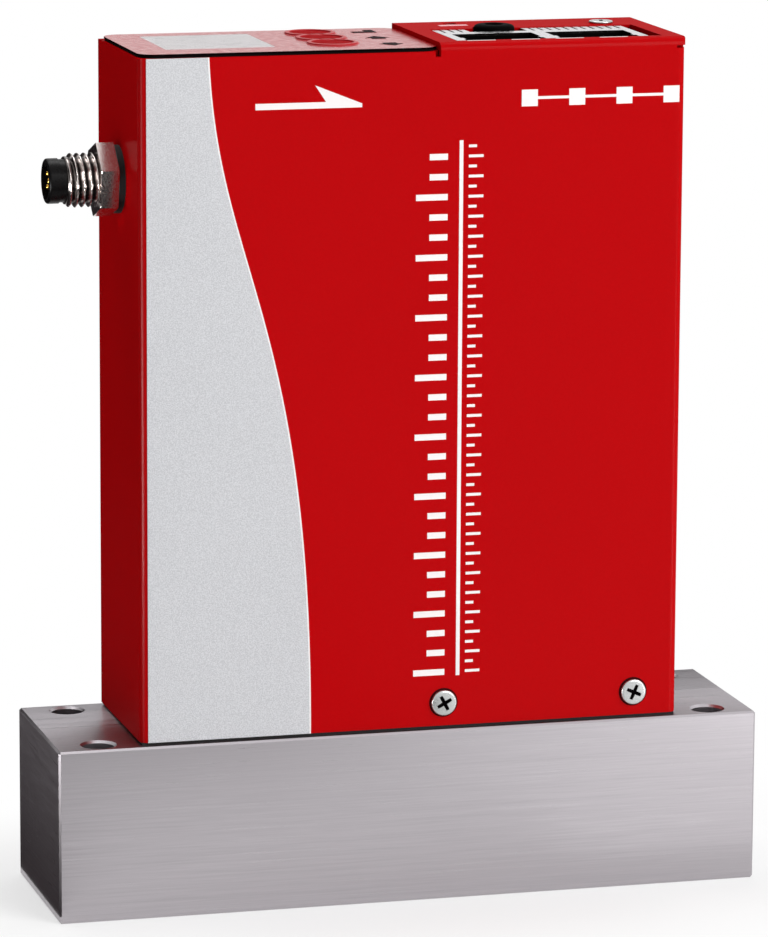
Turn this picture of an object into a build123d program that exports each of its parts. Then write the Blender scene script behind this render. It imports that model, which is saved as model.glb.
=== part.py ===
from build123d import *

import math
import os

os.makedirs("parts", exist_ok=True)

# Mass flow controller for a surface-mount gas panel: a stainless base block, a piezo valve and two
# pressure sensors on it, and a folded red casing with the electronics.
# Millimetres. X runs along the flow, +Y to the back, +Z up; origin in the middle of the block's base.

# ---- base block: the 105 x 28.6 mm (1.125 inch) surface-mount footprint --------------------------
block_length = 105.0
block_depth = 28.6
block_height = 25.4
block_edge = 0.3

mount_spacing_x = 92.0
mount_spacing_y = 21.8
mount_hole_d = 4.6
mount_countersink = 0.35

port_d = 4.6
port_bore_length = 3.0
seal_pocket_d = 11.0
seal_pocket_depth = 1.3
passage_d = 3.0

# ---- clearances ----------------------------------------------------------------------------------
fit_gap = 0.02            # radial, between pieces that are screwed or pressed together
slide_gap = 0.05          # radial, around a switch plunger
key_gap = 0.08            # radial, around a key cap
assembly_gap = 0.1        # between sheets that lie side by side
drill_run_in = 0.6        # how far a slanted drilling runs into the pocket it opens into

# ---- screws --------------------------------------------------------------------------------------
m2_head_d, m2_head_h = 3.8, 0.7
m2_shank_d, m2_tapped_d, m2_clear_d = 1.9, 2.0, 2.3
m2_length = 2.4
m2_cross_width, m2_cross_span, m2_cross_depth = 0.55, 2.3, 0.45
m2_cross_turn = 28.0
low_head_d, low_head_h, low_cross_depth = 3.5, 0.4, 0.25      # low head on the connector top
m3_head_d, m3_head_h = 5.5, 3.0
m3_shank_d, m3_tapped_d, m3_clear_d = 2.9, 3.0, 3.3
m3_socket_flats, m3_socket_depth = 2.5, 1.5
m3_tapped_depth = 8.0
screw_end_gap = 0.4       # free thread left under a screw's end

# ---- casing: folded sheet ------------------------------------------------------------------------
sheet = 1.2
casing_width = 80.7
casing_depth = 26.6
casing_shift = 0.1        # the casing's middle sits this far towards the outlet
casing_foot_gap = 0.4     # shadow gap over the block
wall_top = 124.3          # top of the walls, and of the deck under the display panel
bend_radius = 1.2
flange_left = 3.8         # left edge of the raised connector top
relief = 0.8              # square corner reliefs beside the bends
corner_relief = 1.4       # width of the one under the connector top's right-hand corner
corner_relief_height = 0.4
corner_radius = 0.6       # of that corner, which is cut and not bent
casing_screw_x = (4.8, 33.7)
casing_screw_z = 29.25

# ---- display panel -------------------------------------------------------------------------------
panel_inset = 0.3
panel_corner = 2.5
spacer_height = 0.32
spacer_inset = 0.12
film_height = 0.25
window_x, window_y = -27.0, 1.0
window_width, window_depth = 16.0, 17.0
key_x = -9.9
key_first_y = -4.6
key_pitch = 6.45
key_count = 3
key_d = 6.0
key_proud = 0.08          # key top above the film
key_travel = 0.25
key_ring_width = 0.5
key_ring_height = 0.2
key_tab_reach, key_tab_width, key_tab_height = 0.6, 4.0, 0.5
key_stop_gap = 0.05       # under the deck, where the key rests against it

# ---- boards --------------------------------------------------------------------------------------
board = 1.6
board_edge_gap = 0.4      # around the connector board
field_left, field_right = -10.0, 38.0
field_margin = 3.5        # board below the middle of the sensors' terminals
strip_right, strip_top = 3.0, 116.0
strip_overlap = 5.5       # how far the strip's right end runs down into the field
field_drop = 5.8          # from the connector board down to the field's top
preload_board_gap = 2.5   # between the valve's preload screw and the strip above it
comms_board_left = 5.5
display_board_right, display_edge_gap = 2.6, 0.8
comms_header_overlap, display_header_overlap = 4.0, 5.0
supply_drop = 6.5         # from the display header to the middle of the supply's coil
display_header_x, display_header_width = -24.0, 12.0
standoff_d = 3.6
main_post_inset = 4.0
comms_post_inset_x, comms_post_inset_y = 3.5, 3.1
display_post_inset_x, display_post_inset_y = 2.2, 1.9
display_post_gap = 3.0    # from the window to the posts beside it
switch_side = 6.0
switch_height = 3.1
plunger_d = 3.2
plunger_proud = 0.5
plunger_length = 1.3
plunger_end_gap = 0.05    # left under a pressed plunger
display_frame_margin = 1.0
lead_d, lead_pitch, lead_hole_gap, lead_end_gap = 0.9, 3.0, 0.2, 0.15
flex_width, flex_thick, flex_bend = 4.0, 0.3, 1.5
flex_pin_gap, flex_rise, flex_front_y = 1.5, 8.5, -6.0
lead_drop = 3.5           # leads under the top of the piezo stack
display_glass_gap = 0.1   # between the display's glass and the panel's window

# ---- connector top -------------------------------------------------------------------------------
jack_x = 21.45
jack_pitch = 13.97
jack_width = 28.7
jack_front_y, jack_back_y = -10.65, 0.1
jack_top = 125.4
jack_board_z = 108.4
jack_wall = 0.35
jack_opening_width, jack_opening_depth = 11.9, 8.0
jack_opening_y = -6.2
jack_socket_depth = 12.5
ground_finger_width, ground_finger_pitch = 0.95, 1.3
latch_width, latch_depth = 6.2, 1.6
finger_width, finger_bend, finger_drop = 1.6, 0.5, 2.6
contact_count = 8
contact_pitch = 1.02
contact_width, contact_thick, contact_length = 0.45, 0.4, 8.0
cutout_left_gap, cutout_right_gap = 0.3, 1.75
cutout_front_gap, cutout_back_gap = 0.2, 3.65
service_x, service_y = 16.6, 3.7
service_nose_d, service_bore_d = 6.0, 2.6
service_proud = 0.6
service_body_width, service_body_front, service_body_back = 6.3, 0.32, 9.9
service_bore_depth = 12.0
service_notch_gap = 0.15
lens_x, lens_y, lens_d = 11.8, 10.6, 1.9
lens_gap = 0.1
lens_drop = 0.1           # lens top under the sheet's surface
flange_screw_x, flange_screw_y = 33.9, 6.9
tab_width, tab_front_y = 5.6, 4.0

# ---- round power connector on the left wall ------------------------------------------------------
plug_y, plug_z = 0.0, 105.65
plug_thread_d = 7.8
plug_bore_d = 6.0
plug_thread_length = 4.5
plug_hex_flats, plug_hex_length = 9.6, 2.6
plug_hex_turn = 40.5
plug_gasket_length, plug_gasket_d = 0.95, 9.8
plug_nut_length = 2.5
plug_shank_inside = 3.4
plug_hole_gap = 0.15
insert_d, insert_reach = 6.5, 2.65
insert_cavity_d, insert_cavity_depth = 5.2, 4.5
insert_collar_length, insert_neck_depth = 1.75, 0.15
insert_edge = 0.35
insert_key_width, insert_key_height = 0.8, 0.5
pin_d, pin_circle_r, pin_recess = 0.8, 1.35, 0.3
pin_solder_reach = 0.5
power_board_x = -32.9     # face that meets the main board
power_board_width, power_board_height = 16.0, 18.0

# ---- chassis -------------------------------------------------------------------------------------
chassis_sheet = 1.5
strap_width = 7.0
upright_height = 7.6
plate_left, plate_right = -38.5, 38.5
plate_bottom = 36.0
shelf_left, shelf_front_y = 6.5, -10.5
main_board_y = 5.7        # back face of the main board
comms_gap = 2.0           # standoffs under the connector board
header_width, header_thick = 17.0, 3.5
header_slot_gap = 0.6

# ---- valve ---------------------------------------------------------------------------------------
valve_x = -24.0
valve_pocket_d, valve_pocket_depth = 19.0, 5.0
valve_seal_height, valve_seal_width = 1.5, 1.65
seat_d, seat_bore_d, seat_sunk, seat_gap = 6.0, 2.2, 1.0, 0.05
diaphragm_thick = 0.15
bonnet_width, bonnet_depth, bonnet_height = 23.0, 23.4, 7.6
bonnet_neck_d, bonnet_neck_height = 15.0, 5.0
bonnet_screw_x, bonnet_screw_y = 8.3, 8.8
bonnet_recess_height = 1.5
plunger_head_d, plunger_head_height = 9.0, 2.0
stem_d, stem_length = 4.8, 4.95
spring_d, spring_height, spring_thick = 9.6, 3.0, 0.6
spring_shelf = 1.45
stack_gap = 1.0           # around the stack in the bonnet
piezo_d, piezo_length = 10.0, 42.0
piezo_foot_d, piezo_foot_height = 9.0, 4.0
valve_case_d, valve_case_height = 17.0, 53.0
cap_flange_height, cap_plug_height = 3.0, 5.0
preload_d, preload_proud = 8.0, 1.0
preload_nut_flats, preload_nut_height = 13.0, 3.0
slot_width, slot_depth = 1.2, 1.5

# ---- pressure sensors and restrictor -------------------------------------------------------------
sensor_x = (-5.5, 19.0)
sensor_pocket_d, sensor_pocket_depth = 12.4, 4.0
sensor_flange_d, sensor_flange_height = 12.0, 3.8
sensor_seal_height, sensor_seal_width = 0.8, 1.2
sensor_barrel_d, sensor_barrel_height = 9.0, 14.0
sensor_header_d, sensor_header_height = 8.0, 1.5
sensor_pin_d, sensor_pin_height, sensor_pin_circle_r = 0.6, 5.0, 2.5
clamp_width, clamp_depth, clamp_height = 13.0, 23.4, 3.0
clamp_screw_y = 9.2
restrictor_x = 7.0
restrictor_bore_d, restrictor_bore_top = 9.0, 14.0
restrictor_d, restrictor_flange_height, restrictor_core_d = 7.4, 1.2, 3.0
restrictor_floor = 1.3
plug_head_d, plug_head_height, plug_head_sunk = 12.0, 1.6, 0.2
plug_shank_height = 3.0
plug_seal_height = 0.4
plug_socket_flats, plug_socket_depth = 5.0, 2.2
thermistor_x, thermistor_d, thermistor_depth, thermistor_proud = 10.4, 2.5, 9.0, 2.5

# ---- printed area on the casing's front ----------------------------------------------------------
label_thick = 0.1
label_left_margin = 1.05
label_top_x, label_bottom_x = -30.32, -15.33
label_top_lean = 1.29     # how far the edge has moved over at the upper control point
label_upper_reach, label_lower_reach = 30.87, 61.55

# ---- heights and faces that follow from the sizes above ------------------------------------------
casing_left = casing_shift - casing_width / 2
casing_right = casing_shift + casing_width / 2
casing_front = -casing_depth / 2
casing_back = casing_depth / 2
casing_bottom = block_height + casing_foot_gap
flange_top = wall_top + sheet
seam_y = casing_back - sheet
deck_bottom = wall_top - sheet
panel_bottom = wall_top
film_bottom = panel_bottom + spacer_height
film_top = film_bottom + film_height
panel_left = casing_left + panel_inset
panel_right = flange_left - assembly_gap
key_rows = [key_first_y + row * key_pitch for row in range(key_count)]
key_hole_d = key_d + 2 * key_gap
key_tab_top = deck_bottom - key_stop_gap
key_bottom = key_tab_top - key_tab_height
switch_top = key_bottom - plunger_proud
switch_floor = key_bottom - plunger_length - key_travel - plunger_end_gap
display_board_top = switch_top - switch_height
display_board_bottom = display_board_top - board
cutout_left = jack_x - jack_width / 2 - cutout_left_gap
cutout_right = jack_x + jack_width / 2 + cutout_right_gap
cutout_front = jack_front_y - cutout_front_gap
cutout_back = jack_back_y + cutout_back_gap
jack_centres = [jack_x - jack_pitch / 2, jack_x + jack_pitch / 2]
comms_board_bottom = jack_board_z - board
plate_top = comms_board_bottom - comms_gap
chassis_back = seam_y - assembly_gap
chassis_front = chassis_back - chassis_sheet
main_board_front = main_board_y - board
foot_top = block_height + chassis_sheet
valve_floor = block_height - valve_pocket_depth
diaphragm_bottom = valve_floor + valve_seal_height
diaphragm_top = diaphragm_bottom + diaphragm_thick
bonnet_top = block_height + bonnet_height
plunger_head_top = diaphragm_top + plunger_head_height
spring_top = plunger_head_top + spring_height
stem_top = plunger_head_top + stem_length
piezo_bottom = stem_top + piezo_foot_height
piezo_top = piezo_bottom + piezo_length
valve_case_top = bonnet_top + valve_case_height
preload_nut_bottom = valve_case_top + cap_flange_height
preload_nut_top = preload_nut_bottom + preload_nut_height
preload_top = preload_nut_top + preload_proud
lead_z = piezo_top - lead_drop
sensor_floor = block_height - sensor_pocket_depth
sensor_flange_bottom = sensor_floor + sensor_seal_height
sensor_flange_top = sensor_flange_bottom + sensor_flange_height
sensor_barrel_top = sensor_flange_top + sensor_barrel_height
flex_bottom = sensor_barrel_top + sensor_header_height + flex_pin_gap
sensor_terminal_z = flex_bottom + flex_rise
field_bottom = sensor_terminal_z - field_margin
strip_bottom = preload_top + preload_board_gap
field_top = comms_board_bottom - field_drop
clamp_top = sensor_flange_top + clamp_height
restrictor_seal_bottom = plug_head_sunk + plug_head_height
restrictor_bottom = restrictor_seal_bottom + plug_seal_height + plug_shank_height
port_x = mount_spacing_x / 2
port_top = seal_pocket_depth + port_bore_length
plug_hex_right = casing_left - plug_gasket_length
plug_hex_left = plug_hex_right - plug_hex_length
plug_thread_left = plug_hex_left - plug_thread_length
insert_left = plug_thread_left - insert_reach
plug_wall_inside = casing_left + sheet
display_board_half = seam_y - display_edge_gap
display_post_y = display_board_half - display_post_inset_y
display_posts = [(x, y) for x in (window_x + window_width / 2 + display_post_gap,
                                  display_board_right - display_post_inset_x)
                 for y in (-display_post_y, display_post_y)]
comms_board_half = seam_y - board_edge_gap
comms_board_right = casing_right - sheet - board_edge_gap
comms_post_y = comms_board_half - comms_post_inset_y
comms_posts = [(x, y) for x in (comms_board_left + comms_post_inset_x, comms_board_right - comms_post_inset_x)
               for y in (-comms_post_y, comms_post_y)]
main_posts = [(sum(sensor_x) / 2, field_bottom + main_post_inset),
              (field_right - main_post_inset, field_bottom + main_post_inset),
              (field_right - main_post_inset, field_top - main_post_inset),
              (power_board_x + main_post_inset, strip_bottom + main_post_inset)]

UPRIGHT = (Align.CENTER, Align.CENTER, Align.MIN)


# ---- shapes --------------------------------------------------------------------------------------
def block(x0, x1, y0, y1, z0, z1):
    """Box between two opposite corners."""
    return Pos((x0 + x1) / 2, (y0 + y1) / 2, (z0 + z1) / 2) * Box(x1 - x0, y1 - y0, z1 - z0)


def rod(x, y, z0, z1, diameter):
    """Upright cylinder between two heights."""
    return Pos(x, y, z0) * Cylinder(diameter / 2, z1 - z0, align=UPRIGHT)


def ring(x, y, z0, z1, outer, inner):
    """Upright ring between two heights."""
    return rod(x, y, z0, z1, outer) - rod(x, y, z0, z1, inner)


def drilling(start, end, diameter):
    """Straight drilled passage between two points."""
    run = Vector(*end) - Vector(*start)
    return Plane(origin=start, z_dir=run) * Cylinder(diameter / 2, run.length, align=UPRIGHT)


def prism(x, y, z0, z1, flats, turn=0.0):
    """Upright hexagonal prism of a given width across flats."""
    face = RegularPolygon(flats / 2, 6, major_radius=False, rotation=turn)
    return Pos(x, y, z0) * extrude(face, z1 - z0)


def along_x(y, z, x0, x1, diameter):
    """Cylinder along X between two stations."""
    return drilling((x0, y, z), (x1, y, z), diameter)


def joined(pieces):
    """Union of a list of solids."""
    return Part() + list(pieces)


def group(pieces):
    """Separate solids that share one node."""
    return Compound(children=[solid for piece in pieces for solid in piece.solids()])


def pan_screw(length=m2_length, head_d=m2_head_d, head_h=m2_head_h, cross_depth=m2_cross_depth):
    """M2 pan-head cross screw, pointing down -Z from its bearing face at the origin."""
    head = rod(0, 0, 0, head_h, head_d)
    head = fillet(head.edges().group_by(Axis.Z)[-1], head_h / 2)
    arm = block(-m2_cross_span / 2, m2_cross_span / 2, -m2_cross_width / 2, m2_cross_width / 2,
                head_h - cross_depth, head_h)
    head -= Rot(0, 0, m2_cross_turn) * arm
    head -= Rot(0, 0, m2_cross_turn + 90) * arm
    return head + rod(0, 0, -length, 0, m2_shank_d)


def cap_screw(length):
    """M3 socket-head screw, pointing down -Z from its bearing face at the origin."""
    screw = rod(0, 0, 0, m3_head_h, m3_head_d) + rod(0, 0, -length, 0, m3_shank_d)
    return screw - prism(0, 0, m3_head_h - m3_socket_depth, m3_head_h, m3_socket_flats)


# ---- base block and what carries the gas ---------------------------------------------------------
def mount_holes():
    """Four through holes, countersunk at the top, two at each end."""
    holes = []
    for x in (-mount_spacing_x / 2, mount_spacing_x / 2):
        for y in (-mount_spacing_y / 2, mount_spacing_y / 2):
            hole = rod(x, y, 0, block_height, mount_hole_d)
            mouth = Pos(x, y, block_height - mount_countersink) * Cone(
                mount_hole_d / 2, mount_hole_d / 2 + mount_countersink, mount_countersink, align=UPRIGHT)
            holes += [hole, mouth]
    return holes


def ports():
    """Inlet and outlet mouths in the base, each with its seal pocket."""
    return [rod(x, 0, 0, seal_pocket_depth, seal_pocket_d) + rod(x, 0, 0, port_top, port_d)
            for x in (-port_x, port_x)]


def passages():
    """Slanted drillings: inlet to valve, valve to first sensor, through the restrictor, to the outlet."""
    pocket = sensor_floor + drill_run_in
    annulus_x = valve_x - valve_pocket_d / 4 - passage_d / 4
    gallery_z = valve_floor - 3 * passage_d
    first, second = sensor_x
    offset = passage_d
    side_z = (restrictor_bottom + restrictor_bore_top) / 2
    inlet_z = port_top - drill_run_in
    element_z = restrictor_bore_top - drill_run_in
    return [
        drilling((-port_x, 0, inlet_z), (annulus_x, 0, valve_floor + drill_run_in), passage_d),
        rod(valve_x, 0, gallery_z, valve_floor, seat_bore_d),
        drilling((valve_x, 0, gallery_z), (first - offset, 0, pocket), passage_d),
        drilling((first + offset, 0, pocket), (restrictor_x, 0, element_z), passage_d),
        drilling((restrictor_x, 0, side_z), (second - offset, 0, pocket), passage_d),
        drilling((second + offset, 0, pocket), (port_x, 0, inlet_z), passage_d),
    ]


def base_block():
    """Stainless block with its mounting holes, ports, pockets, passages and tapped holes."""
    body = block(-block_length / 2, block_length / 2, -block_depth / 2, block_depth / 2, 0, block_height)
    body = chamfer(body.edges(), block_edge)
    tapped_bottom = block_height - m3_tapped_depth
    cuts = mount_holes() + ports() + passages()
    cuts.append(rod(valve_x, 0, valve_floor, block_height, valve_pocket_d))
    cuts.append(rod(valve_x, 0, valve_floor - seat_sunk, valve_floor, seat_d + 2 * fit_gap))
    for x in sensor_x:
        cuts.append(rod(x, 0, sensor_floor, block_height, sensor_pocket_d))
    for x, y in cap_screw_places():
        cuts.append(rod(x, y, tapped_bottom, block_height, m3_tapped_d))
    cuts.append(rod(restrictor_x, 0, 0, restrictor_bore_top, restrictor_bore_d))
    cuts.append(rod(restrictor_x, 0, 0, restrictor_seal_bottom + plug_seal_height, plug_head_d + 4 * fit_gap))
    probe_bottom = block_height - thermistor_depth
    cuts.append(rod(thermistor_x, 0, probe_bottom, block_height, thermistor_d + 2 * fit_gap))
    return body - cuts


def cap_screw_places():
    """Plan positions of every M3 screw in the block: bonnet, clamps and chassis feet."""
    bonnet = [(valve_x + x, y) for x in (-bonnet_screw_x, bonnet_screw_x)
              for y in (-bonnet_screw_y, bonnet_screw_y)]
    clamps = [(x, y) for x in sensor_x for y in (-clamp_screw_y, clamp_screw_y)]
    return bonnet + clamps + [(x, 0) for x in casing_screw_x]


def cap_screws():
    """The M3 screws, each seated on the piece it holds down."""
    seats = [bonnet_top] * 4 + [clamp_top] * 4 + [foot_top] * len(casing_screw_x)
    end = block_height - m3_tapped_depth + screw_end_gap
    return group([Pos(x, y, seat) * cap_screw(seat - end)
                  for (x, y), seat in zip(cap_screw_places(), seats)])


def flow_restrictor():
    """Laminar element: a flanged cylinder fed through its middle, leaving at its side."""
    flange_bottom = restrictor_bore_top - restrictor_flange_height
    shell = rod(restrictor_x, 0, restrictor_bottom, flange_bottom, restrictor_d)
    shell += rod(restrictor_x, 0, flange_bottom, restrictor_bore_top, restrictor_bore_d - 2 * fit_gap)
    return shell - rod(restrictor_x, 0, restrictor_bottom + restrictor_floor, restrictor_bore_top,
                       restrictor_core_d)


def restrictor_plug():
    """Screwed plug that closes the restrictor's bore from below."""
    body = rod(restrictor_x, 0, plug_head_sunk, restrictor_seal_bottom, plug_head_d)
    body += rod(restrictor_x, 0, restrictor_seal_bottom, restrictor_bottom, restrictor_bore_d - 2 * fit_gap)
    socket_top = plug_head_sunk + plug_socket_depth
    return body - prism(restrictor_x, 0, plug_head_sunk, socket_top, plug_socket_flats)


def restrictor_seal():
    """Flat metal gasket under the plug's head."""
    return ring(restrictor_x, 0, restrictor_seal_bottom, restrictor_seal_bottom + plug_seal_height,
                plug_head_d, restrictor_bore_d)


def thermistor():
    """Temperature probe in its blind hole, with a stub of its cap standing out."""
    bottom = block_height - thermistor_depth
    return rod(thermistor_x, 0, bottom, block_height + thermistor_proud, thermistor_d)


# ---- valve ---------------------------------------------------------------------------------------
def valve_seat():
    """Seat insert in the pocket's floor."""
    return ring(valve_x, 0, valve_floor - seat_sunk, diaphragm_bottom - seat_gap, seat_d, seat_bore_d)


def valve_seal():
    """Metal ring that seals the diaphragm's rim against the pocket's floor."""
    outer = valve_pocket_d - 4 * fit_gap
    return ring(valve_x, 0, valve_floor, diaphragm_bottom, outer, outer - 2 * valve_seal_width)


def valve_diaphragm():
    """Thin metal disc clamped at its rim."""
    return rod(valve_x, 0, diaphragm_bottom, diaphragm_top, valve_pocket_d - 4 * fit_gap)


def valve_bonnet():
    """Square bonnet with a spigot in the pocket, a spring shelf and a neck for the valve's case."""
    spigot_d = valve_pocket_d - 4 * fit_gap
    body = rod(valve_x, 0, diaphragm_top, block_height, spigot_d)
    plate = block(valve_x - bonnet_width / 2, valve_x + bonnet_width / 2,
                  -bonnet_depth / 2, bonnet_depth / 2, block_height, bonnet_top)
    body += fillet(plate.edges().filter_by(Axis.Z), bend_radius)
    body += rod(valve_x, 0, bonnet_top, bonnet_top + bonnet_neck_height, bonnet_neck_d)
    recess_top = diaphragm_top + bonnet_recess_height
    body -= rod(valve_x, 0, diaphragm_top, recess_top, spigot_d - 2 * valve_seal_width)
    body -= rod(valve_x, 0, recess_top, spring_top, spring_d + 4 * fit_gap)
    body -= rod(valve_x, 0, spring_top, spring_top + spring_shelf, stem_d + 4 * fit_gap)
    body -= rod(valve_x, 0, spring_top + spring_shelf, bonnet_top + bonnet_neck_height,
                piezo_d + 2 * stack_gap)
    for x in (-bonnet_screw_x, bonnet_screw_x):
        for y in (-bonnet_screw_y, bonnet_screw_y):
            body -= rod(valve_x + x, y, block_height, bonnet_top, m3_clear_d)
    return body


def valve_plunger():
    """Button on the diaphragm, with a stem up to the piezo stack."""
    return (rod(valve_x, 0, diaphragm_top, plunger_head_top, plunger_head_d)
            + rod(valve_x, 0, plunger_head_top, stem_top, stem_d))


def valve_springs():
    """Two coned washers, small ends together, around the stem."""
    low = plunger_head_top
    middle = low + spring_height / 2
    inner, outer = stem_d / 2 + 2 * fit_gap, spring_d / 2
    rim, lift = outer - spring_thick, spring_thick
    profile = make_face(Polyline((outer, low), (rim, low), (inner, middle - lift), (inner, middle),
                                 (inner + lift, middle), (outer, low + lift), close=True))
    lower = revolve(Plane.XZ * profile, Axis.Z)
    upper = mirror(lower, Plane.XY.offset(middle))
    return group([Pos(valve_x, 0, 0) * lower, Pos(valve_x, 0, 0) * upper])


def piezo_foot():
    """Thrust piece under the stack, rounded below."""
    foot = rod(valve_x, 0, stem_top, piezo_bottom, piezo_foot_d)
    return fillet(foot.edges().group_by(Axis.Z)[0], piezo_foot_height / 2)


def piezo_stack():
    """Resin-coated piezo stack."""
    return rod(valve_x, 0, piezo_bottom, piezo_top, piezo_d)


def valve_case():
    """Steel tube around the stack, screwed on the bonnet's neck, with two holes for the leads."""
    tube = ring(valve_x, 0, bonnet_top, valve_case_top, valve_case_d, bonnet_neck_d + 2 * fit_gap)
    y = main_board_front - valve_terminal[4] / 2
    for z in lead_heights():
        tube -= along_x(y, z, valve_x, valve_x + valve_case_d, lead_d + 2 * lead_hole_gap)
    return tube


def valve_cap():
    """Cap that closes the tube and carries the preload screw."""
    body = rod(valve_x, 0, valve_case_top, valve_case_top + cap_flange_height, valve_case_d)
    body += rod(valve_x, 0, valve_case_top - cap_plug_height, valve_case_top, bonnet_neck_d)
    return body - rod(valve_x, 0, valve_case_top - cap_plug_height, valve_case_top + cap_flange_height,
                      preload_d + 2 * fit_gap)


def preload_screw():
    """Slotted screw that presses on the stack's top."""
    body = rod(valve_x, 0, piezo_top, preload_top, preload_d)
    return body - block(valve_x - preload_d, valve_x + preload_d, -slot_width / 2, slot_width / 2,
                        preload_top - slot_depth, preload_top)


def preload_nut():
    """Nut that locks the preload screw on the cap."""
    return (prism(valve_x, 0, preload_nut_bottom, preload_nut_top, preload_nut_flats)
            - rod(valve_x, 0, preload_nut_bottom, preload_nut_top, preload_d + 2 * fit_gap))


# ---- pressure sensors ----------------------------------------------------------------------------
def sensor_seals():
    """Metal seals under the two sensors."""
    inner = sensor_flange_d - 2 * sensor_seal_width
    return group([ring(x, 0, sensor_floor, sensor_flange_bottom, sensor_flange_d, inner) for x in sensor_x])


def pressure_sensor(x):
    """Flanged sensor capsule with four pins in its glass header."""
    body = rod(x, 0, sensor_flange_bottom, sensor_flange_top, sensor_flange_d)
    body += rod(x, 0, sensor_flange_top, sensor_barrel_top, sensor_barrel_d)
    header_top = sensor_barrel_top + sensor_header_height
    body += rod(x, 0, sensor_barrel_top, header_top, sensor_header_d)
    for pin in PolarLocations(sensor_pin_circle_r, 4):
        body += Pos(x, 0, header_top) * pin * Cylinder(sensor_pin_d / 2, sensor_pin_height, align=UPRIGHT)
    return body


def sensor_clamp(x):
    """Plate that holds a sensor's flange down with two screws."""
    body = block(x - clamp_width / 2, x + clamp_width / 2, -clamp_depth / 2, clamp_depth / 2,
                 sensor_flange_top, clamp_top)
    body -= rod(x, 0, sensor_flange_top, clamp_top, sensor_barrel_d + 4 * fit_gap)
    for y in (-clamp_screw_y, clamp_screw_y):
        body -= rod(x, y, sensor_flange_top, clamp_top, m3_clear_d)
    return body


# ---- chassis and boards --------------------------------------------------------------------------
def front_to_back(x, z, y0, y1, diameter):
    """Cylinder along Y between two faces."""
    return drilling((x, y0, z), (x, y1, z), diameter)


def chassis():
    """Folded sheet: two feet on the block, a back plate, and a shelf for the connector board."""
    front = -chassis_back
    shelf_bottom = plate_top - chassis_sheet
    pieces = [block(plate_left, plate_right, chassis_front, chassis_back, plate_bottom, plate_top),
              block(shelf_left, plate_right, shelf_front_y, chassis_back, shelf_bottom, plate_top)]
    for x in casing_screw_x:
        left, right = x - strap_width / 2, x + strap_width / 2
        upright_top = block_height + upright_height
        pieces += [block(left, right, front, chassis_back, block_height, foot_top),
                   block(left, right, front, front + chassis_sheet, block_height, upright_top),
                   block(left, right, chassis_front, chassis_back, block_height, plate_bottom)]
    body = joined(pieces)
    for x in casing_screw_x:
        body -= rod(x, 0, block_height, foot_top, m3_clear_d)
        body -= front_to_back(x, casing_screw_z, front, chassis_back, m2_tapped_d)
    for x, y in comms_posts:
        body -= rod(x, y, shelf_bottom, plate_top, m2_clear_d)
    body -= block(jack_x - header_width / 2 - header_slot_gap, jack_x + header_width / 2 + header_slot_gap,
                  main_board_front - header_thick - header_slot_gap, main_board_y + header_slot_gap,
                  plate_top - chassis_sheet, plate_top)
    return body


def main_board_outline():
    """Upright board: a large field beside the valve and a strip above it."""
    field = block(field_left, field_right, main_board_front, main_board_y, field_bottom, field_top)
    strip = block(power_board_x, strip_right, main_board_front, main_board_y, strip_bottom, strip_top)
    neck = block(field_left, strip_right, main_board_front, main_board_y,
                 field_top - strip_overlap, strip_top)
    return field + neck + strip


def main_board():
    """Control board on four standoffs."""
    body = main_board_outline()
    for x, z in main_posts:
        body -= front_to_back(x, z, main_board_front, main_board_y, m2_clear_d)
    return body


# Components on the main board's front face: (middle x, middle z, width, height, thickness).
processor = (14.0, 76.0, 14.0, 14.0, 1.4)
driver = (-2.0, 64.0, 9.0, 7.0, 2.6)
converter = (28.0, 62.0, 8.0, 8.0, 3.2)
memory = (30.0, 80.0, 8.0, 5.0, 1.2)
coil = (27.0, 90.5, 7.0, 6.0, 3.4)
supply = (-23.0, strip_top - display_header_overlap - supply_drop, 7.0, 7.0, 2.8)
valve_terminal = (-6.0, lead_z, 6.0, 5.0, 4.0)
sensor_terminals = [(x, sensor_terminal_z, 7.0, 4.5, 3.0) for x in sensor_x]


def main_board_parts():
    """Chips, coil and terminals soldered on the main board."""
    places = [processor, driver, converter, memory, coil, supply, valve_terminal] + sensor_terminals
    return group([block(x - w / 2, x + w / 2, main_board_front - t, main_board_front, z - h / 2, z + h / 2)
                  for x, z, w, h, t in places])


def comms_board():
    """Connector board that carries the network jacks and the service jack."""
    return block(comms_board_left, comms_board_right, -comms_board_half, comms_board_half,
                 comms_board_bottom, jack_board_z)


def display_board():
    """Level board under the deck with the display and the key switches."""
    body = block(casing_left + sheet + display_edge_gap, display_board_right,
                 -display_board_half, display_board_half, display_board_bottom, display_board_top)
    for x, y in display_posts:
        body -= rod(x, y, display_board_bottom, display_board_top, m2_clear_d)
    return body


def board_headers():
    """Board-to-board headers: to the connector board through the shelf's slot, and to the display board."""
    front = main_board_front - header_thick
    comms = block(jack_x - header_width / 2, jack_x + header_width / 2, front, main_board_front,
                  field_top - comms_header_overlap, comms_board_bottom)
    half = display_header_width / 2
    display = block(display_header_x - half, display_header_x + half, front, main_board_front,
                    strip_top - display_header_overlap, display_board_bottom)
    return group([comms, display])


def pcb_standoffs():
    """Tapped posts between the boards and what carries them."""
    posts = [front_to_back(x, z, main_board_y, chassis_front, standoff_d)
             - front_to_back(x, z, main_board_y, chassis_front, m2_tapped_d) for x, z in main_posts]
    posts += [ring(x, y, plate_top, comms_board_bottom, standoff_d, m2_tapped_d) for x, y in comms_posts]
    posts += [ring(x, y, display_board_top, deck_bottom, standoff_d, m2_tapped_d) for x, y in display_posts]
    return group(posts)


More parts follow.
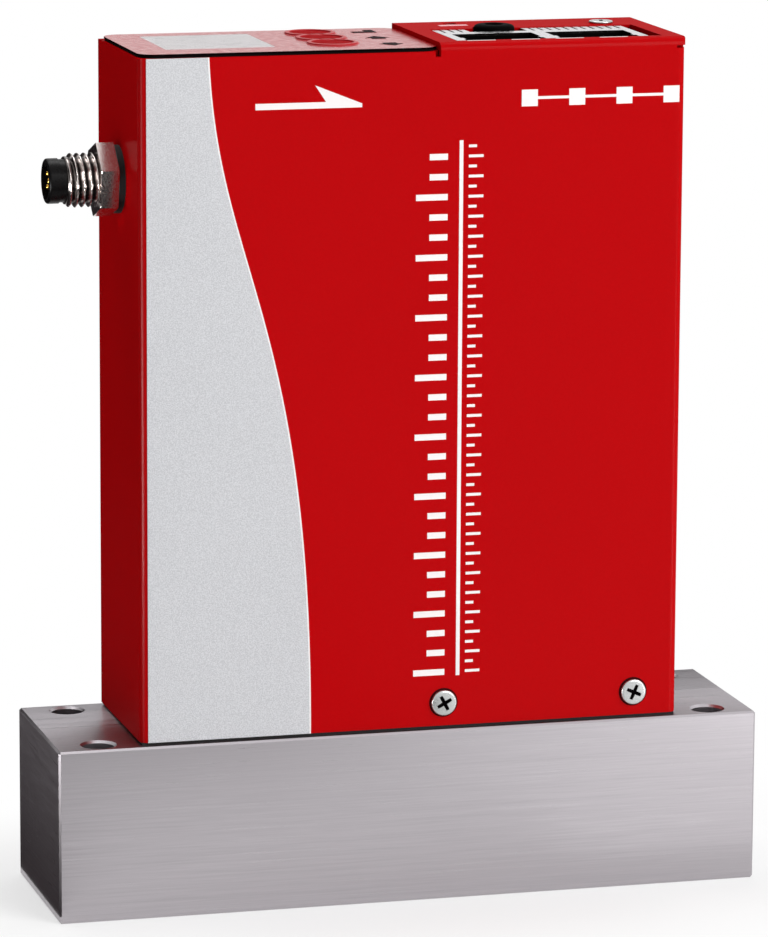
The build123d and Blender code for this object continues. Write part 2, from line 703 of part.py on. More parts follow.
def pcb_screws():
    """M2 screws into the standoffs."""
    screws = [Pos(x, main_board_front, z) * Rot(90, 0, 0) * pan_screw(board + m2_length)
              for x, z in main_posts]
    screws += [Pos(x, y, plate_top - chassis_sheet) * Rot(180, 0, 0) * pan_screw(chassis_sheet + comms_gap)
               for x, y in comms_posts]
    screws += [Pos(x, y, display_board_bottom) * Rot(180, 0, 0) * pan_screw(board + m2_length)
               for x, y in display_posts]
    return group(screws)


def power_board():
    """Small upright board soldered on the power connector's pins."""
    half_width, half_height = power_board_width / 2, power_board_height / 2
    body = block(power_board_x - board, power_board_x, plug_y - half_width, plug_y + half_width,
                 plug_z - half_height, plug_z + half_height)
    for y, z in pin_places():
        body -= along_x(y, z, power_board_x - board, power_board_x, pin_d + 4 * fit_gap)
    return body


def lead_heights():
    """Heights of the two leads, level with the valve's terminal."""
    return [lead_z - lead_pitch / 2, lead_z + lead_pitch / 2]


def valve_leads():
    """Two leads from the piezo stack through the valve's case to its terminal."""
    x, z, width, height, thick = valve_terminal
    y = main_board_front - thick / 2
    start = valve_x + math.sqrt((piezo_d / 2) ** 2 - y ** 2) + lead_end_gap
    return group([along_x(y, height_z, start, x - width / 2, lead_d) for height_z in lead_heights()])


def sensor_flexes():
    """Flexible circuits from the sensors' pins, round the front, to their terminals."""
    pieces = []
    for x, z, width, height, thick in sensor_terminals:
        left, right = x - flex_width / 2, x + flex_width / 2
        top = z + flex_thick / 2
        back = main_board_front - thick
        strip = block(left, right, flex_front_y, back, flex_bottom, top)
        strip = fillet(strip.edges().filter_by(Axis.X).group_by(Axis.Y)[0], flex_bend)
        hollow = block(left, right, flex_front_y + flex_thick, back,
                       flex_bottom + flex_thick, top - flex_thick)
        hollow = fillet(hollow.edges().filter_by(Axis.X).group_by(Axis.Y)[0], flex_bend - flex_thick)
        loop = strip - hollow + rod(x, 0, flex_bottom, flex_bottom + flex_thick, sensor_header_d)
        for pin in PolarLocations(sensor_pin_circle_r, 4):
            hole = Cylinder(sensor_pin_d / 2 + fit_gap, flex_thick, align=UPRIGHT)
            loop -= Pos(x, 0, flex_bottom) * pin * hole
        pieces.append(loop)
    return group(pieces)


# ---- display panel -------------------------------------------------------------------------------
def panel_sheet(inset, z0, z1):
    """Rounded plate over the deck, with the window and the key holes cut out."""
    width = panel_right - panel_left - 2 * inset
    depth = casing_depth - 2 * (panel_inset + inset)
    face = RectangleRounded(width, depth, panel_corner - inset)
    plate = Pos((panel_left + panel_right) / 2, 0, z0) * extrude(face, z1 - z0)
    plate -= block(window_x - window_width / 2, window_x + window_width / 2,
                   window_y - window_depth / 2, window_y + window_depth / 2, z0, z1)
    for y in key_rows:
        plate -= rod(key_x, y, z0, z1, key_hole_d)
    return plate


def panel_spacer():
    """Black adhesive spacer that sets the film off the casing."""
    return panel_sheet(spacer_inset, panel_bottom, film_bottom)


def panel_film():
    """Red overlay with a raised ring around each key."""
    film = panel_sheet(0, film_bottom, film_top)
    ring_top = film_top + key_ring_height
    for y in key_rows:
        film += rod(key_x, y, film_top, ring_top, key_hole_d + 2 * key_ring_width)
    for y in key_rows:
        film -= rod(key_x, y, film_bottom, ring_top, key_hole_d)
    return film


def display_window():
    """Clear window, flush in the overlay."""
    return block(window_x - window_width / 2, window_x + window_width / 2,
                 window_y - window_depth / 2, window_y + window_depth / 2, film_bottom, film_top)


def display_module():
    """Display: a frame on the board and a glass that fills the deck's window."""
    margin = display_frame_margin
    frame = block(window_x - window_width / 2 - margin, window_x + window_width / 2 + margin,
                  window_y - window_depth / 2 - margin, window_y + window_depth / 2 + margin,
                  display_board_top, deck_bottom - display_glass_gap)
    glass = block(window_x - window_width / 2 + fit_gap, window_x + window_width / 2 - fit_gap,
                  window_y - window_depth / 2 + fit_gap, window_y + window_depth / 2 - fit_gap,
                  deck_bottom - display_glass_gap, film_bottom - display_glass_gap)
    return frame + glass


def tact_switches():
    """Three switch housings, each open on top for its plunger."""
    half = switch_side / 2
    housings = []
    for y in key_rows:
        body = block(key_x - half, key_x + half, y - half, y + half, display_board_top, switch_top)
        housings.append(body - rod(key_x, y, switch_floor, switch_top, plunger_d + 2 * slide_gap))
    return group(housings)


def switch_plunger(y):
    """Plunger of one switch."""
    return rod(key_x, y, key_bottom - plunger_length, key_bottom, plunger_d)


def key_cap(y):
    """Round key: a cap through the panel and two side tabs that stop it under the deck."""
    reach = key_d / 2 + key_tab_reach
    cap = rod(key_x, y, key_bottom, film_top + key_proud, key_d)
    return cap + block(key_x - reach, key_x + reach, y - key_tab_width / 2, y + key_tab_width / 2,
                       key_bottom, key_tab_top)


# ---- network jacks, service jack and status lens -------------------------------------------------
def jack_shield():
    """Sheet-metal shield around both jacks, open below, with a bent finger at each side of each mouth."""
    left, right = jack_x - jack_width / 2, jack_x + jack_width / 2
    body = block(left, right, jack_front_y, jack_back_y, jack_board_z, jack_top)
    body -= block(left + jack_wall, right - jack_wall, jack_front_y + jack_wall, jack_back_y - jack_wall,
                  jack_board_z, jack_top - jack_wall)
    half_w, half_d = jack_opening_width / 2, jack_opening_depth / 2
    for x in jack_centres:
        body -= block(x - half_w, x + half_w, jack_opening_y - half_d, jack_opening_y + half_d,
                      jack_top - jack_wall, jack_top)
        for side in (-1, 1):
            body += jack_finger(x, side)
    for x in ground_fingers(left, right):
        body += block(x, x + ground_finger_width, jack_back_y - jack_wall, cutout_back - assembly_gap,
                      jack_top - jack_wall, jack_top)
    return body


def ground_fingers(left, right):
    """Left edges of the grounding fingers behind the mouths, which leave room for the service jack."""
    half = service_nose_d / 2 + service_notch_gap
    left_count = int((service_x - half - left) // ground_finger_pitch)
    right_count = int((right - service_x - half) // ground_finger_pitch)
    places = [left + i * ground_finger_pitch for i in range(left_count)]
    return places + [right - ground_finger_width - i * ground_finger_pitch for i in range(right_count)]


def jack_finger(x, side):
    """Spring finger that leans into the mouth from one side."""
    edge = x + side * jack_opening_width / 2
    lean = edge - side * finger_bend
    face = make_face(Polyline((edge, jack_top), (edge, jack_top - jack_wall), (lean, jack_top - finger_drop),
                              (lean - side * jack_wall, jack_top - finger_drop),
                              (edge - side * jack_wall, jack_top), close=True))
    front = jack_opening_y - jack_opening_depth / 2 + latch_depth + assembly_gap
    return Pos(0, front + finger_width, 0) * extrude(Plane.XZ * face, finger_width)


def jack_insert(x):
    """Black moulded insert with the plug's socket and its latch slot."""
    half = jack_pitch / 2 - assembly_gap / 2
    body = block(x - half, x + half, jack_front_y + jack_wall, jack_back_y - jack_wall,
                 jack_board_z, jack_top - jack_wall)
    inner_left, inner_right = jack_x - jack_width / 2 + jack_wall, jack_x + jack_width / 2 - jack_wall
    body &= block(inner_left, inner_right, jack_front_y, jack_back_y, jack_board_z, jack_top)
    half_w = jack_opening_width / 2
    front = jack_opening_y - jack_opening_depth / 2
    back = jack_opening_y + jack_opening_depth / 2
    floor = jack_top - jack_wall - jack_socket_depth
    body -= block(x - half_w, x + half_w, front + latch_depth, back, floor, jack_top - jack_wall)
    return body - block(x - latch_width / 2, x + latch_width / 2, front, front + latch_depth,
                        floor, jack_top - jack_wall)


def jack_contacts():
    """Gold contact strips along the back of both sockets."""
    back = jack_opening_y + jack_opening_depth / 2
    low = jack_top - jack_wall - jack_socket_depth
    first = -(contact_count - 1) / 2 * contact_pitch
    strips = []
    for x in jack_centres:
        for index in range(contact_count):
            middle = x + first + index * contact_pitch
            strips.append(block(middle - contact_width / 2, middle + contact_width / 2,
                                back - contact_thick, back, low, low + contact_length))
    return group(strips)


def service_jack():
    """Round service jack whose nose stands in the connector top's notch."""
    body_top = deck_bottom + sheet - assembly_gap
    body = block(service_x - service_body_width / 2, service_x + service_body_width / 2,
                 service_body_front, service_body_back, jack_board_z, body_top)
    top = flange_top + service_proud
    body += rod(service_x, service_y, body_top, top, service_nose_d)
    return body - rod(service_x, service_y, top - service_bore_depth, top, service_bore_d)


def status_lens():
    """Light pipe from the connector board to the connector top."""
    return rod(lens_x, lens_y, jack_board_z, flange_top - lens_drop, lens_d)


# ---- power connector -----------------------------------------------------------------------------
def pin_places():
    """Plan of the five pins: one in the middle and four around it."""
    quarter = pin_circle_r * math.cos(math.radians(45))
    around = [(plug_y + y * quarter, plug_z + z * quarter) for y in (-1, 1) for z in (-1, 1)]
    return [(plug_y, plug_z)] + around


def plug_shell():
    """Threaded metal shell with its hexagon, through the left wall."""
    end = plug_wall_inside + plug_shank_inside
    body = along_x(plug_y, plug_z, plug_thread_left, end, plug_thread_d)
    face = RegularPolygon(plug_hex_flats / 2, 6, major_radius=False, rotation=plug_hex_turn)
    hexagon = Plane.YZ.offset(plug_hex_left) * Pos(plug_y, plug_z) * face
    body += extrude(hexagon, plug_hex_length)
    return body - along_x(plug_y, plug_z, plug_thread_left, end, plug_bore_d)


def plug_insert():
    """Black insulator with the pins' cavity, a narrower neck and a coding rib."""
    back = power_board_x - board
    body = along_x(plug_y, plug_z, plug_thread_left, back, plug_bore_d - 2 * fit_gap)
    front = along_x(plug_y, plug_z, insert_left, plug_thread_left, insert_d)
    front = fillet(front.edges().filter_by(GeomType.CIRCLE).group_by(Axis.X)[0], insert_edge)
    collar_end = insert_left + insert_collar_length
    groove = along_x(plug_y, plug_z, collar_end, plug_thread_left, insert_d)
    groove -= along_x(plug_y, plug_z, collar_end, plug_thread_left, insert_d - 2 * insert_neck_depth)
    cavity_end = insert_left + insert_cavity_depth
    cavity = along_x(plug_y, plug_z, insert_left, cavity_end, insert_cavity_d)
    cavity -= block(insert_left, cavity_end, plug_y - insert_key_width / 2, plug_y + insert_key_width / 2,
                    plug_z + insert_cavity_d / 2 - insert_key_height, plug_z + insert_d)
    body = body + front - groove - cavity
    for y, z in pin_places():
        body -= along_x(y, z, cavity_end, back, pin_d + 2 * fit_gap)
    return body


def plug_pins():
    """Five contact pins through the insulator into the power board."""
    return group([along_x(y, z, insert_left + pin_recess, power_board_x + pin_solder_reach, pin_d)
                  for y, z in pin_places()])


def plug_gasket():
    """Rubber washer between the hexagon and the wall."""
    return (along_x(plug_y, plug_z, plug_hex_right, casing_left, plug_gasket_d)
            - along_x(plug_y, plug_z, plug_hex_right, casing_left, plug_thread_d + 2 * fit_gap))


def plug_nut():
    """Nut inside the wall."""
    face = RegularPolygon(plug_hex_flats / 2, 6, major_radius=False, rotation=plug_hex_turn)
    nut = extrude(Plane.YZ.offset(plug_wall_inside) * Pos(plug_y, plug_z) * face, plug_nut_length)
    return nut - along_x(plug_y, plug_z, plug_wall_inside, plug_wall_inside + plug_nut_length,
                         plug_thread_d + 2 * fit_gap)


# ---- casing --------------------------------------------------------------------------------------
def rounded_wall(height):
    """Plan of the casing as a solid with its two front bends, from the foot to a height."""
    body = block(casing_left, casing_right, casing_front, casing_back, casing_bottom, height)
    front = body.edges().filter_by(Axis.Z).group_by(Axis.Y)[0]
    return fillet(front, bend_radius)


def top_corner_round():
    """What is rounded off the connector top's right-hand front corner."""
    x, y = casing_right - corner_radius, casing_front + corner_radius
    corner = block(x, casing_right, casing_front, y, wall_top, flange_top)
    return corner - rod(x, y, wall_top, flange_top, 2 * corner_radius)


def connector_cutouts():
    """Openings in the connector top: jacks, service notch, lens and screw."""
    half = service_nose_d / 2 + service_notch_gap
    return [
        block(cutout_left, cutout_right, cutout_front, cutout_back, wall_top, flange_top),
        rod(service_x, service_y, wall_top, flange_top, 2 * half),
        rod(lens_x, lens_y, wall_top, flange_top, lens_d + 2 * lens_gap),
        rod(flange_screw_x, flange_screw_y, wall_top, flange_top, m2_clear_d),
    ]


def front_casing():
    """One folded sheet: front, both sides and the raised connector top."""
    low = rounded_wall(wall_top)
    high = rounded_wall(flange_top) & block(flange_left, casing_right, casing_front, casing_back,
                                            casing_bottom, flange_top)
    high += block(casing_right - bend_radius, casing_right, casing_front, casing_front + bend_radius,
                  wall_top, flange_top)
    top_front = high.edges().filter_by(Axis.X).group_by(Axis.Z)[-1].group_by(Axis.Y)[0]
    high = fillet(top_front, bend_radius)
    body = low + high
    body -= block(casing_left + sheet, casing_right - sheet, casing_front + sheet, casing_back,
                  casing_bottom, wall_top)
    body -= block(casing_left, casing_right, seam_y - assembly_gap / 2, casing_back, casing_bottom, wall_top)
    body -= block(flange_left - relief, flange_left, casing_front, casing_front + sheet,
                  wall_top - relief, flange_top)
    body -= block(casing_right - corner_relief, casing_right, casing_front, casing_front + corner_relief,
                  wall_top - corner_relief_height, wall_top)
    body -= top_corner_round()
    body -= connector_cutouts()
    body -= along_x(plug_y, plug_z, casing_left, casing_left + sheet, plug_thread_d + 2 * plug_hole_gap)
    for x in casing_screw_x:
        body -= front_to_back(x, casing_screw_z, casing_front, casing_front + sheet, m2_clear_d)
    return body


def rear_cover():
    """Back wall with the deck under the display panel and a tapped tab under the connector top."""
    wall = block(casing_left, casing_right, seam_y, casing_back, casing_bottom, wall_top)
    deck_left = casing_left + sheet + assembly_gap
    deck = block(deck_left, flange_left - assembly_gap, casing_front + sheet + assembly_gap, seam_y,
                 deck_bottom, wall_top)
    deck -= block(window_x - window_width / 2, window_x + window_width / 2,
                  window_y - window_depth / 2, window_y + window_depth / 2, deck_bottom, wall_top)
    for y in key_rows:
        deck -= rod(key_x, y, deck_bottom, wall_top, key_hole_d)
    tab = block(flange_screw_x - tab_width / 2, flange_screw_x + tab_width / 2, tab_front_y, seam_y,
                deck_bottom, wall_top)
    tab -= rod(flange_screw_x, flange_screw_y, deck_bottom, wall_top, m2_tapped_d)
    cover = wall + deck + tab
    for x in casing_screw_x:
        cover -= front_to_back(x, casing_screw_z, seam_y, casing_back, m2_clear_d)
    return cover


def casing_screws():
    """Two screws in front, two behind and one in the connector top."""
    screws = [Pos(x, casing_front, casing_screw_z) * Rot(90, 0, 0) * pan_screw() for x in casing_screw_x]
    screws += [Pos(x, casing_back, casing_screw_z) * Rot(-90, 0, 0) * pan_screw() for x in casing_screw_x]
    low_screw = pan_screw(sheet + sheet, low_head_d, low_head_h, low_cross_depth)
    screws.append(Pos(flange_screw_x, flange_screw_y, flange_top) * low_screw)
    return group(screws)


def front_label():
    """Silver printed area on the casing's front, with a flowing right-hand edge."""
    left = casing_left + label_left_margin
    upper = (label_top_x + label_top_lean, wall_top - label_upper_reach)
    lower = (label_bottom_x, casing_bottom + label_lower_reach)
    edge = Bezier((label_top_x, wall_top), upper, lower, (label_bottom_x, casing_bottom))
    sides = Polyline((label_bottom_x, casing_bottom), (left, casing_bottom), (left, wall_top),
                     (label_top_x, wall_top))
    face = Plane.XZ.offset(-casing_front) * make_face([edge, *sides.edges()])
    return extrude(face, label_thick)


BUILDERS = {
    "base_block": base_block,
    "flow_restrictor": flow_restrictor,
    "restrictor_plug": restrictor_plug,
    "restrictor_seal": restrictor_seal,
    "thermistor": thermistor,
    "cap_screws": cap_screws,
    "valve_seat": valve_seat,
    "valve_seal": valve_seal,
    "valve_diaphragm": valve_diaphragm,
    "valve_bonnet": valve_bonnet,
    "valve_plunger": valve_plunger,
    "valve_springs": valve_springs,
    "piezo_foot": piezo_foot,
    "piezo_stack": piezo_stack,
    "valve_case": valve_case,
    "valve_cap": valve_cap,
    "preload_screw": preload_screw,
    "preload_nut": preload_nut,
    "sensor_seals": sensor_seals,
    "chassis": chassis,
    "main_board": main_board,
    "main_board_parts": main_board_parts,
    "comms_board": comms_board,
    "board_headers": board_headers,
    "display_board": display_board,
    "pcb_standoffs": pcb_standoffs,
    "pcb_screws": pcb_screws,
    "power_board": power_board,
    "valve_leads": valve_leads,
    "sensor_flexes": sensor_flexes,
    "panel_spacer": panel_spacer,
    "panel_film": panel_film,
    "display_window": display_window,
    "display_module": display_module,
    "tact_switches": tact_switches,
    "jack_shield": jack_shield,
    "jack_contacts": jack_contacts,
    "service_jack": service_jack,
    "status_lens": status_lens,
    "plug_shell": plug_shell,
    "plug_insert": plug_insert,
    "plug_pins": plug_pins,
    "plug_gasket": plug_gasket,
    "plug_nut": plug_nut,
    "front_casing": front_casing,
    "rear_cover": rear_cover,
    "casing_screws": casing_screws,
    "front_label": front_label,
}


def build():
    """Every node of the assembly by name."""
    nodes = {name: make() for name, make in BUILDERS.items()}
    for number, x in enumerate(sensor_x, start=1):
        nodes[f"pressure_sensor_{number}"] = pressure_sensor(x)
        nodes[f"sensor_clamp_{number}"] = sensor_clamp(x)
    for number, x in enumerate(jack_centres, start=1):
        nodes[f"jack_insert_{number}"] = jack_insert(x)
    for number, y in enumerate(key_rows, start=1):
        nodes[f"key_cap_{number}"] = key_cap(y)
        nodes[f"switch_plunger_{number}"] = switch_plunger(y)
    return nodes


for name, solid in build().items():
    export_step(solid, f"parts/{name}.step")
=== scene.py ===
"""Dressed model of a mass flow controller: a steel flow block under a folded red casing.

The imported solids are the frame. Each sub-assembly is a class that dresses its own solids and adds the fine
pieces that stand for them: the connector's thread, the bent contacts, the embossed key rims, the screws'
heads and the print. Sizes in the sub-assemblies are millimetres, and the studio's places are metres.
"""

import logging
import math
from dataclasses import dataclass
from enum import Enum

import bmesh
import bpy
import numpy as np
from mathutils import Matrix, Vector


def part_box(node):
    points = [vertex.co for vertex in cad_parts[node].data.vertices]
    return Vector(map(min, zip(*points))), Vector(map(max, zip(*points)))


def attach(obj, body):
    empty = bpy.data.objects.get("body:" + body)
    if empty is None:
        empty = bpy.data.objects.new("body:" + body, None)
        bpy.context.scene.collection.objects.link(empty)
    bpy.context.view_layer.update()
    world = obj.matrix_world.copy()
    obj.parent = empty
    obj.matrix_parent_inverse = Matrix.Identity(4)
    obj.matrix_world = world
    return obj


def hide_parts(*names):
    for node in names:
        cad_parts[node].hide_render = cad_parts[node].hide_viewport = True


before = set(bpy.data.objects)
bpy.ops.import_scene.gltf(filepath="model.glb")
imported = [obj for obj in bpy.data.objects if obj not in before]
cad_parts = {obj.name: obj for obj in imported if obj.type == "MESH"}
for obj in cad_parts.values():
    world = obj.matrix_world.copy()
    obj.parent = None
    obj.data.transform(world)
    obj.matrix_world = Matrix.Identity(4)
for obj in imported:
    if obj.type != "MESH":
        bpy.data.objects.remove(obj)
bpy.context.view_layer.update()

MM = 0.001
HOUSING = "housing"
LOG = logging.getLogger("mass_flow_controller")
RIGHT = np.array([1.0, 0.0, 0.0])
FORWARD = np.array([0.0, -1.0, 0.0])
BACKWARD = np.array([0.0, 1.0, 0.0])
UP = np.array([0.0, 0.0, 1.0])
# A face looks along an axis where its normal has at least this share of it.
FACING = 0.7
# Thickness of a printed mark.
INK = 0.03
# Most values of a noise lie between these.
NOISE_SPAN = (0.3, 0.7)
# Range of a finish's roughness.
ROUGH_SPAN = (0.02, 1.0)
# Angle that one side of a hexagon takes.
SECTOR = math.radians(60)

Tree = bpy.types.NodeTree
Socket = bpy.types.NodeSocket
Point = tuple[float, float, float]


# ---- nodes ---------------------------------------------------------------------------------------
def linear(hex_colour: str) -> tuple[float, float, float, float]:
    """Turns an sRGB hex colour such as "c01a1e" to linear red, green and blue, with an alpha of 1."""
    shares = [int(hex_colour[i : i + 2], 16) / 255 for i in (0, 2, 4)]
    red, green, blue = (c / 12.92 if c <= 0.04045 else ((c + 0.055) / 1.055) ** 2.4 for c in shares)
    return (red, green, blue, 1.0)


def add_node(
    tree: Tree,
    kind: str,
    settings: dict[str, object] | None = None,
    inputs: dict[str | int, object] | None = None,
) -> bpy.types.Node:
    """Adds one shader node, with its settings and its sockets.

    Args:
        tree: Node tree that gets the node.
        kind: Blender's name of the node type.
        settings: Attributes of the node.
        inputs: Value of each socket, or the output socket that is linked to it.

    Returns:
        The new node.
    """
    node = tree.nodes.new(kind)
    for key, value in (settings or {}).items():
        setattr(node, key, value)
    for key, value in (inputs or {}).items():
        if isinstance(value, Socket):
            tree.links.new(value, node.inputs[key])
        else:
            node.inputs[key].default_value = value
    return node


def cleared(owner: bpy.types.Material | bpy.types.World) -> Tree:
    """Turns on a material's or world's node tree and empties it."""
    owner.use_nodes = True
    owner.node_tree.nodes.clear()
    return owner.node_tree


def add_object(name: str, data: bpy.types.ID) -> bpy.types.Object:
    """Puts a new object with this data in the scene."""
    made = bpy.data.objects.new(name, data)
    bpy.context.scene.collection.objects.link(made)
    return made


def add_face(name: str, points: np.ndarray) -> bpy.types.Object:
    """Puts one flat face through these points, in metres, in the scene."""
    mesh = bpy.data.meshes.new(name)
    mesh.from_pydata(points.tolist(), [], [list(range(len(points)))])
    return add_object(name, mesh)


class Along(Enum):
    """Direction that a surface was worked in: factors on the pattern's coordinates, small along it."""

    NONE = (1.0, 1.0, 1.0)
    X = (0.02, 1.0, 1.0)
    Z = (1.0, 1.0, 0.02)


# ---- finishes ------------------------------------------------------------------------------------
@dataclass(frozen=True)
class Finish:
    """One surface as it was made: a base colour, a grain that shifts it, and the grain's relief.

    grain_mm is the size of the grain, drift_mm that of slow changes over the surface. swing and
    drift_swing say how far each moves the colour towards shade, and relief_mm is the grain's height.
    """

    name: str
    slot: str
    colour: str
    shade: str
    roughness: float
    metallic: float = 0.0
    grain_mm: float = 0.5
    detail: float = 2.0
    swing: float = 0.3
    drift_mm: float = 25.0
    drift_swing: float = 0.3
    relief_mm: float = 0.0
    rough_swing: float = 0.06
    along: Along = Along.NONE
    coat: float = 0.0
    coat_roughness: float = 0.1
    anisotropy: float = 0.0
    specular: float = 0.5
    ior: float = 1.5

    def place(self, tree: Tree) -> Socket:
        """Object coordinates in metres."""
        return add_node(tree, "ShaderNodeTexCoord").outputs["Object"]

    def grain(self, tree: Tree, place: Socket) -> Socket:
        """Noise of the grain's size, drawn out along the working direction.

        Args:
            tree: Node tree of the material.
            place: Coordinates to read.

        Returns:
            A value round 0.5.
        """
        stretch = {"Vector": place, "Scale": self.along.value}
        spread = add_node(tree, "ShaderNodeMapping", {"vector_type": "POINT"}, stretch)
        pattern = {"Vector": spread.outputs[0], "Scale": 1 / (self.grain_mm * MM), "Detail": self.detail}
        return add_node(tree, "ShaderNodeTexNoise", None, pattern).outputs["Fac"]

    def drift(self, tree: Tree, place: Socket) -> Socket:
        """Slow noise over the whole surface."""
        pattern = {"Vector": place, "Scale": 1 / (self.drift_mm * MM), "Detail": 1.0}
        return add_node(tree, "ShaderNodeTexNoise", None, pattern).outputs["Fac"]

    def grain_share(self, tree: Tree, grain: Socket) -> Socket:
        """How far the grain alone moves the colour towards its shade."""
        terms = {0: grain, 1: self.swing}
        return add_node(tree, "ShaderNodeMath", {"operation": "MULTIPLY"}, terms).outputs[0]

    def shade_share(self, tree: Tree, grain: Socket, drift: Socket) -> Socket:
        """How far grain and drift together move the colour towards its shade."""
        terms = {0: drift, 1: self.drift_swing, 2: self.grain_share(tree, grain)}
        settings = {"operation": "MULTIPLY_ADD", "use_clamp": True}
        return add_node(tree, "ShaderNodeMath", settings, terms).outputs[0]

    def tint(self, tree: Tree, grain: Socket, drift: Socket) -> Socket:
        """Mixes the base colour and its shade.

        Args:
            tree: Node tree of the material.
            grain: Grain value.
            drift: Slow value over the surface.

        Returns:
            The colour.
        """
        share = self.shade_share(tree, grain, drift)
        ends = {"Factor": share, "A": linear(self.colour), "B": linear(self.shade)}
        return add_node(tree, "ShaderNodeMix", {"data_type": "RGBA"}, ends).outputs["Result"]

    def shader_inputs(self, tree: Tree, place: Socket, grain: Socket) -> dict[str, object]:
        """Sockets of the main shader: colour, roughness and relief follow the pattern.

        Args:
            tree: Node tree of the material.
            place: Coordinates to read.
            grain: Grain value.

        Returns:
            The value or link of each socket.
        """
        span = {
            "Value": grain,
            "From Min": NOISE_SPAN[0],
            "From Max": NOISE_SPAN[1],
            "To Min": max(self.roughness - self.rough_swing, ROUGH_SPAN[0]),
            "To Max": min(self.roughness + self.rough_swing, ROUGH_SPAN[1]),
        }
        inputs: dict[str, object] = {
            "Base Color": self.tint(tree, grain, self.drift(tree, place)),
            "Roughness": add_node(tree, "ShaderNodeMapRange", {"clamp": True}, span).outputs[0],
            "Metallic": self.metallic,
            "Specular IOR Level": self.specular,
            "IOR": self.ior,
            "Coat Weight": self.coat,
            "Coat Roughness": self.coat_roughness,
            "Anisotropic": self.anisotropy,
        }
        if self.relief_mm:
            height = {"Height": grain, "Strength": 1.0, "Distance": self.relief_mm * MM}
            bump = add_node(tree, "ShaderNodeBump", None, height)
            inputs["Normal"] = bump.outputs[0]
            inputs["Coat Normal"] = bump.outputs[0]
        return inputs

    def material(self) -> bpy.types.Material:
        """Builds the material once and keeps it for the next piece."""
        known = bpy.data.materials.get(self.name)
        if known is not None:
            return known
        made = bpy.data.materials.new(self.name)
        tree = cleared(made)
        place = self.place(tree)
        grain = self.grain(tree, place)
        shader = add_node(tree, "ShaderNodeBsdfPrincipled", None, self.shader_inputs(tree, place, grain))
        add_node(tree, "ShaderNodeOutputMaterial", None, {"Surface": shader.outputs[0]})
        return made


@dataclass(frozen=True)
class GroundSteel(Finish):
    """Steel ground with a belt: long scratches along X on the long faces and along Y on the ends."""

    scratch: float = 0.012
    coarse_share: float = 0.4
    coarse_scale: float = 0.25

    def grain(self, tree: Tree, place: Socket) -> Socket:
        """Fine and coarse stretched noise, whose long way is along X except where the face points along X.

        Args:
            tree: Node tree of the material.
            place: Coordinates to read.

        Returns:
            A value round 0.5.
        """
        facing = add_node(tree, "ShaderNodeTexCoord").outputs["Normal"]
        normal = add_node(tree, "ShaderNodeSeparateXYZ", None, {0: facing})
        side = add_node(tree, "ShaderNodeMath", {"operation": "ABSOLUTE"}, {0: normal.outputs["X"]})
        limit = {0: side.outputs[0], 1: FACING}
        is_end = add_node(tree, "ShaderNodeMath", {"operation": "GREATER_THAN"}, limit)
        ways = {"Factor": is_end.outputs[0], "A": (self.scratch, 1.0, 1.0), "B": (1.0, self.scratch, 1.0)}
        scale = add_node(tree, "ShaderNodeMix", {"data_type": "VECTOR"}, ways).outputs["Result"]
        spread = add_node(tree, "ShaderNodeVectorMath", {"operation": "MULTIPLY"}, {0: place, 1: scale})
        noises = []
        for factor, detail in ((1, self.detail), (self.coarse_scale, 1.0)):
            pattern = {"Vector": spread.outputs[0], "Scale": factor / (self.grain_mm * MM), "Detail": detail}
            noises.append(add_node(tree, "ShaderNodeTexNoise", None, pattern).outputs["Fac"])
        share = {0: noises[0], 1: 1 - self.coarse_share}
        fine = add_node(tree, "ShaderNodeMath", {"operation": "MULTIPLY"}, share).outputs[0]
        terms = {0: noises[1], 1: self.coarse_share, 2: fine}
        return add_node(tree, "ShaderNodeMath", {"operation": "MULTIPLY_ADD"}, terms).outputs[0]


@dataclass(frozen=True)
class SpeckledFilm(Finish):
    """Printed silver film over a textured coat: fine dark pits in a pale field.

    A pit is darkest where the grain is at pit_floor and ends where it is at pit_rim.
    """

    pit_floor: float = 0.38
    pit_rim: float = 0.62

    def grain_share(self, tree: Tree, grain: Socket) -> Socket:
        """Full swing where the grain dips, none where it rises."""
        span = {"Value": grain, "From Min": self.pit_floor, "From Max": self.pit_rim}
        span |= {"To Min": self.swing, "To Max": 0.0}
        return add_node(tree, "ShaderNodeMapRange", {"clamp": True}, span).outputs[0]


@dataclass(frozen=True)
class SolderMask(Finish):
    """Green mask over copper: tracks show as slightly lighter lines on a grid."""

    track_edge: float = 0.42

    def shade_share(self, tree: Tree, grain: Socket, drift: Socket) -> Socket:
        """1 on a track, 0 between: the rims of square cells."""
        pattern = {"Vector": self.place(tree), "Scale": 1 / (self.grain_mm * MM)}
        cells = add_node(tree, "ShaderNodeTexVoronoi", {"feature": "F1", "distance": "CHEBYCHEV"}, pattern)
        limit = {0: cells.outputs["Distance"], 1: self.track_edge}
        return add_node(tree, "ShaderNodeMath", {"operation": "GREATER_THAN"}, limit).outputs[0]


@dataclass(frozen=True)
class RecessedSteel(Finish):
    """Plated steel whose recess or groove is painted dark as shade, by the mesh's own mask."""

    mask: str = "recess"
    # Colour of the painted shade in the recess.
    recess_shade: str = "060506"

    def tint(self, tree: Tree, grain: Socket, drift: Socket) -> Socket:
        """Darkens the plating's colour where the mask is up: painted shade in the recess."""
        depth = add_node(tree, "ShaderNodeAttribute", {"attribute_name": self.mask}).outputs["Fac"]
        ends = {"Factor": depth, "A": super().tint(tree, grain, drift), "B": linear(self.recess_shade)}
        return add_node(tree, "ShaderNodeMix", {"data_type": "RGBA"}, ends).outputs["Result"]


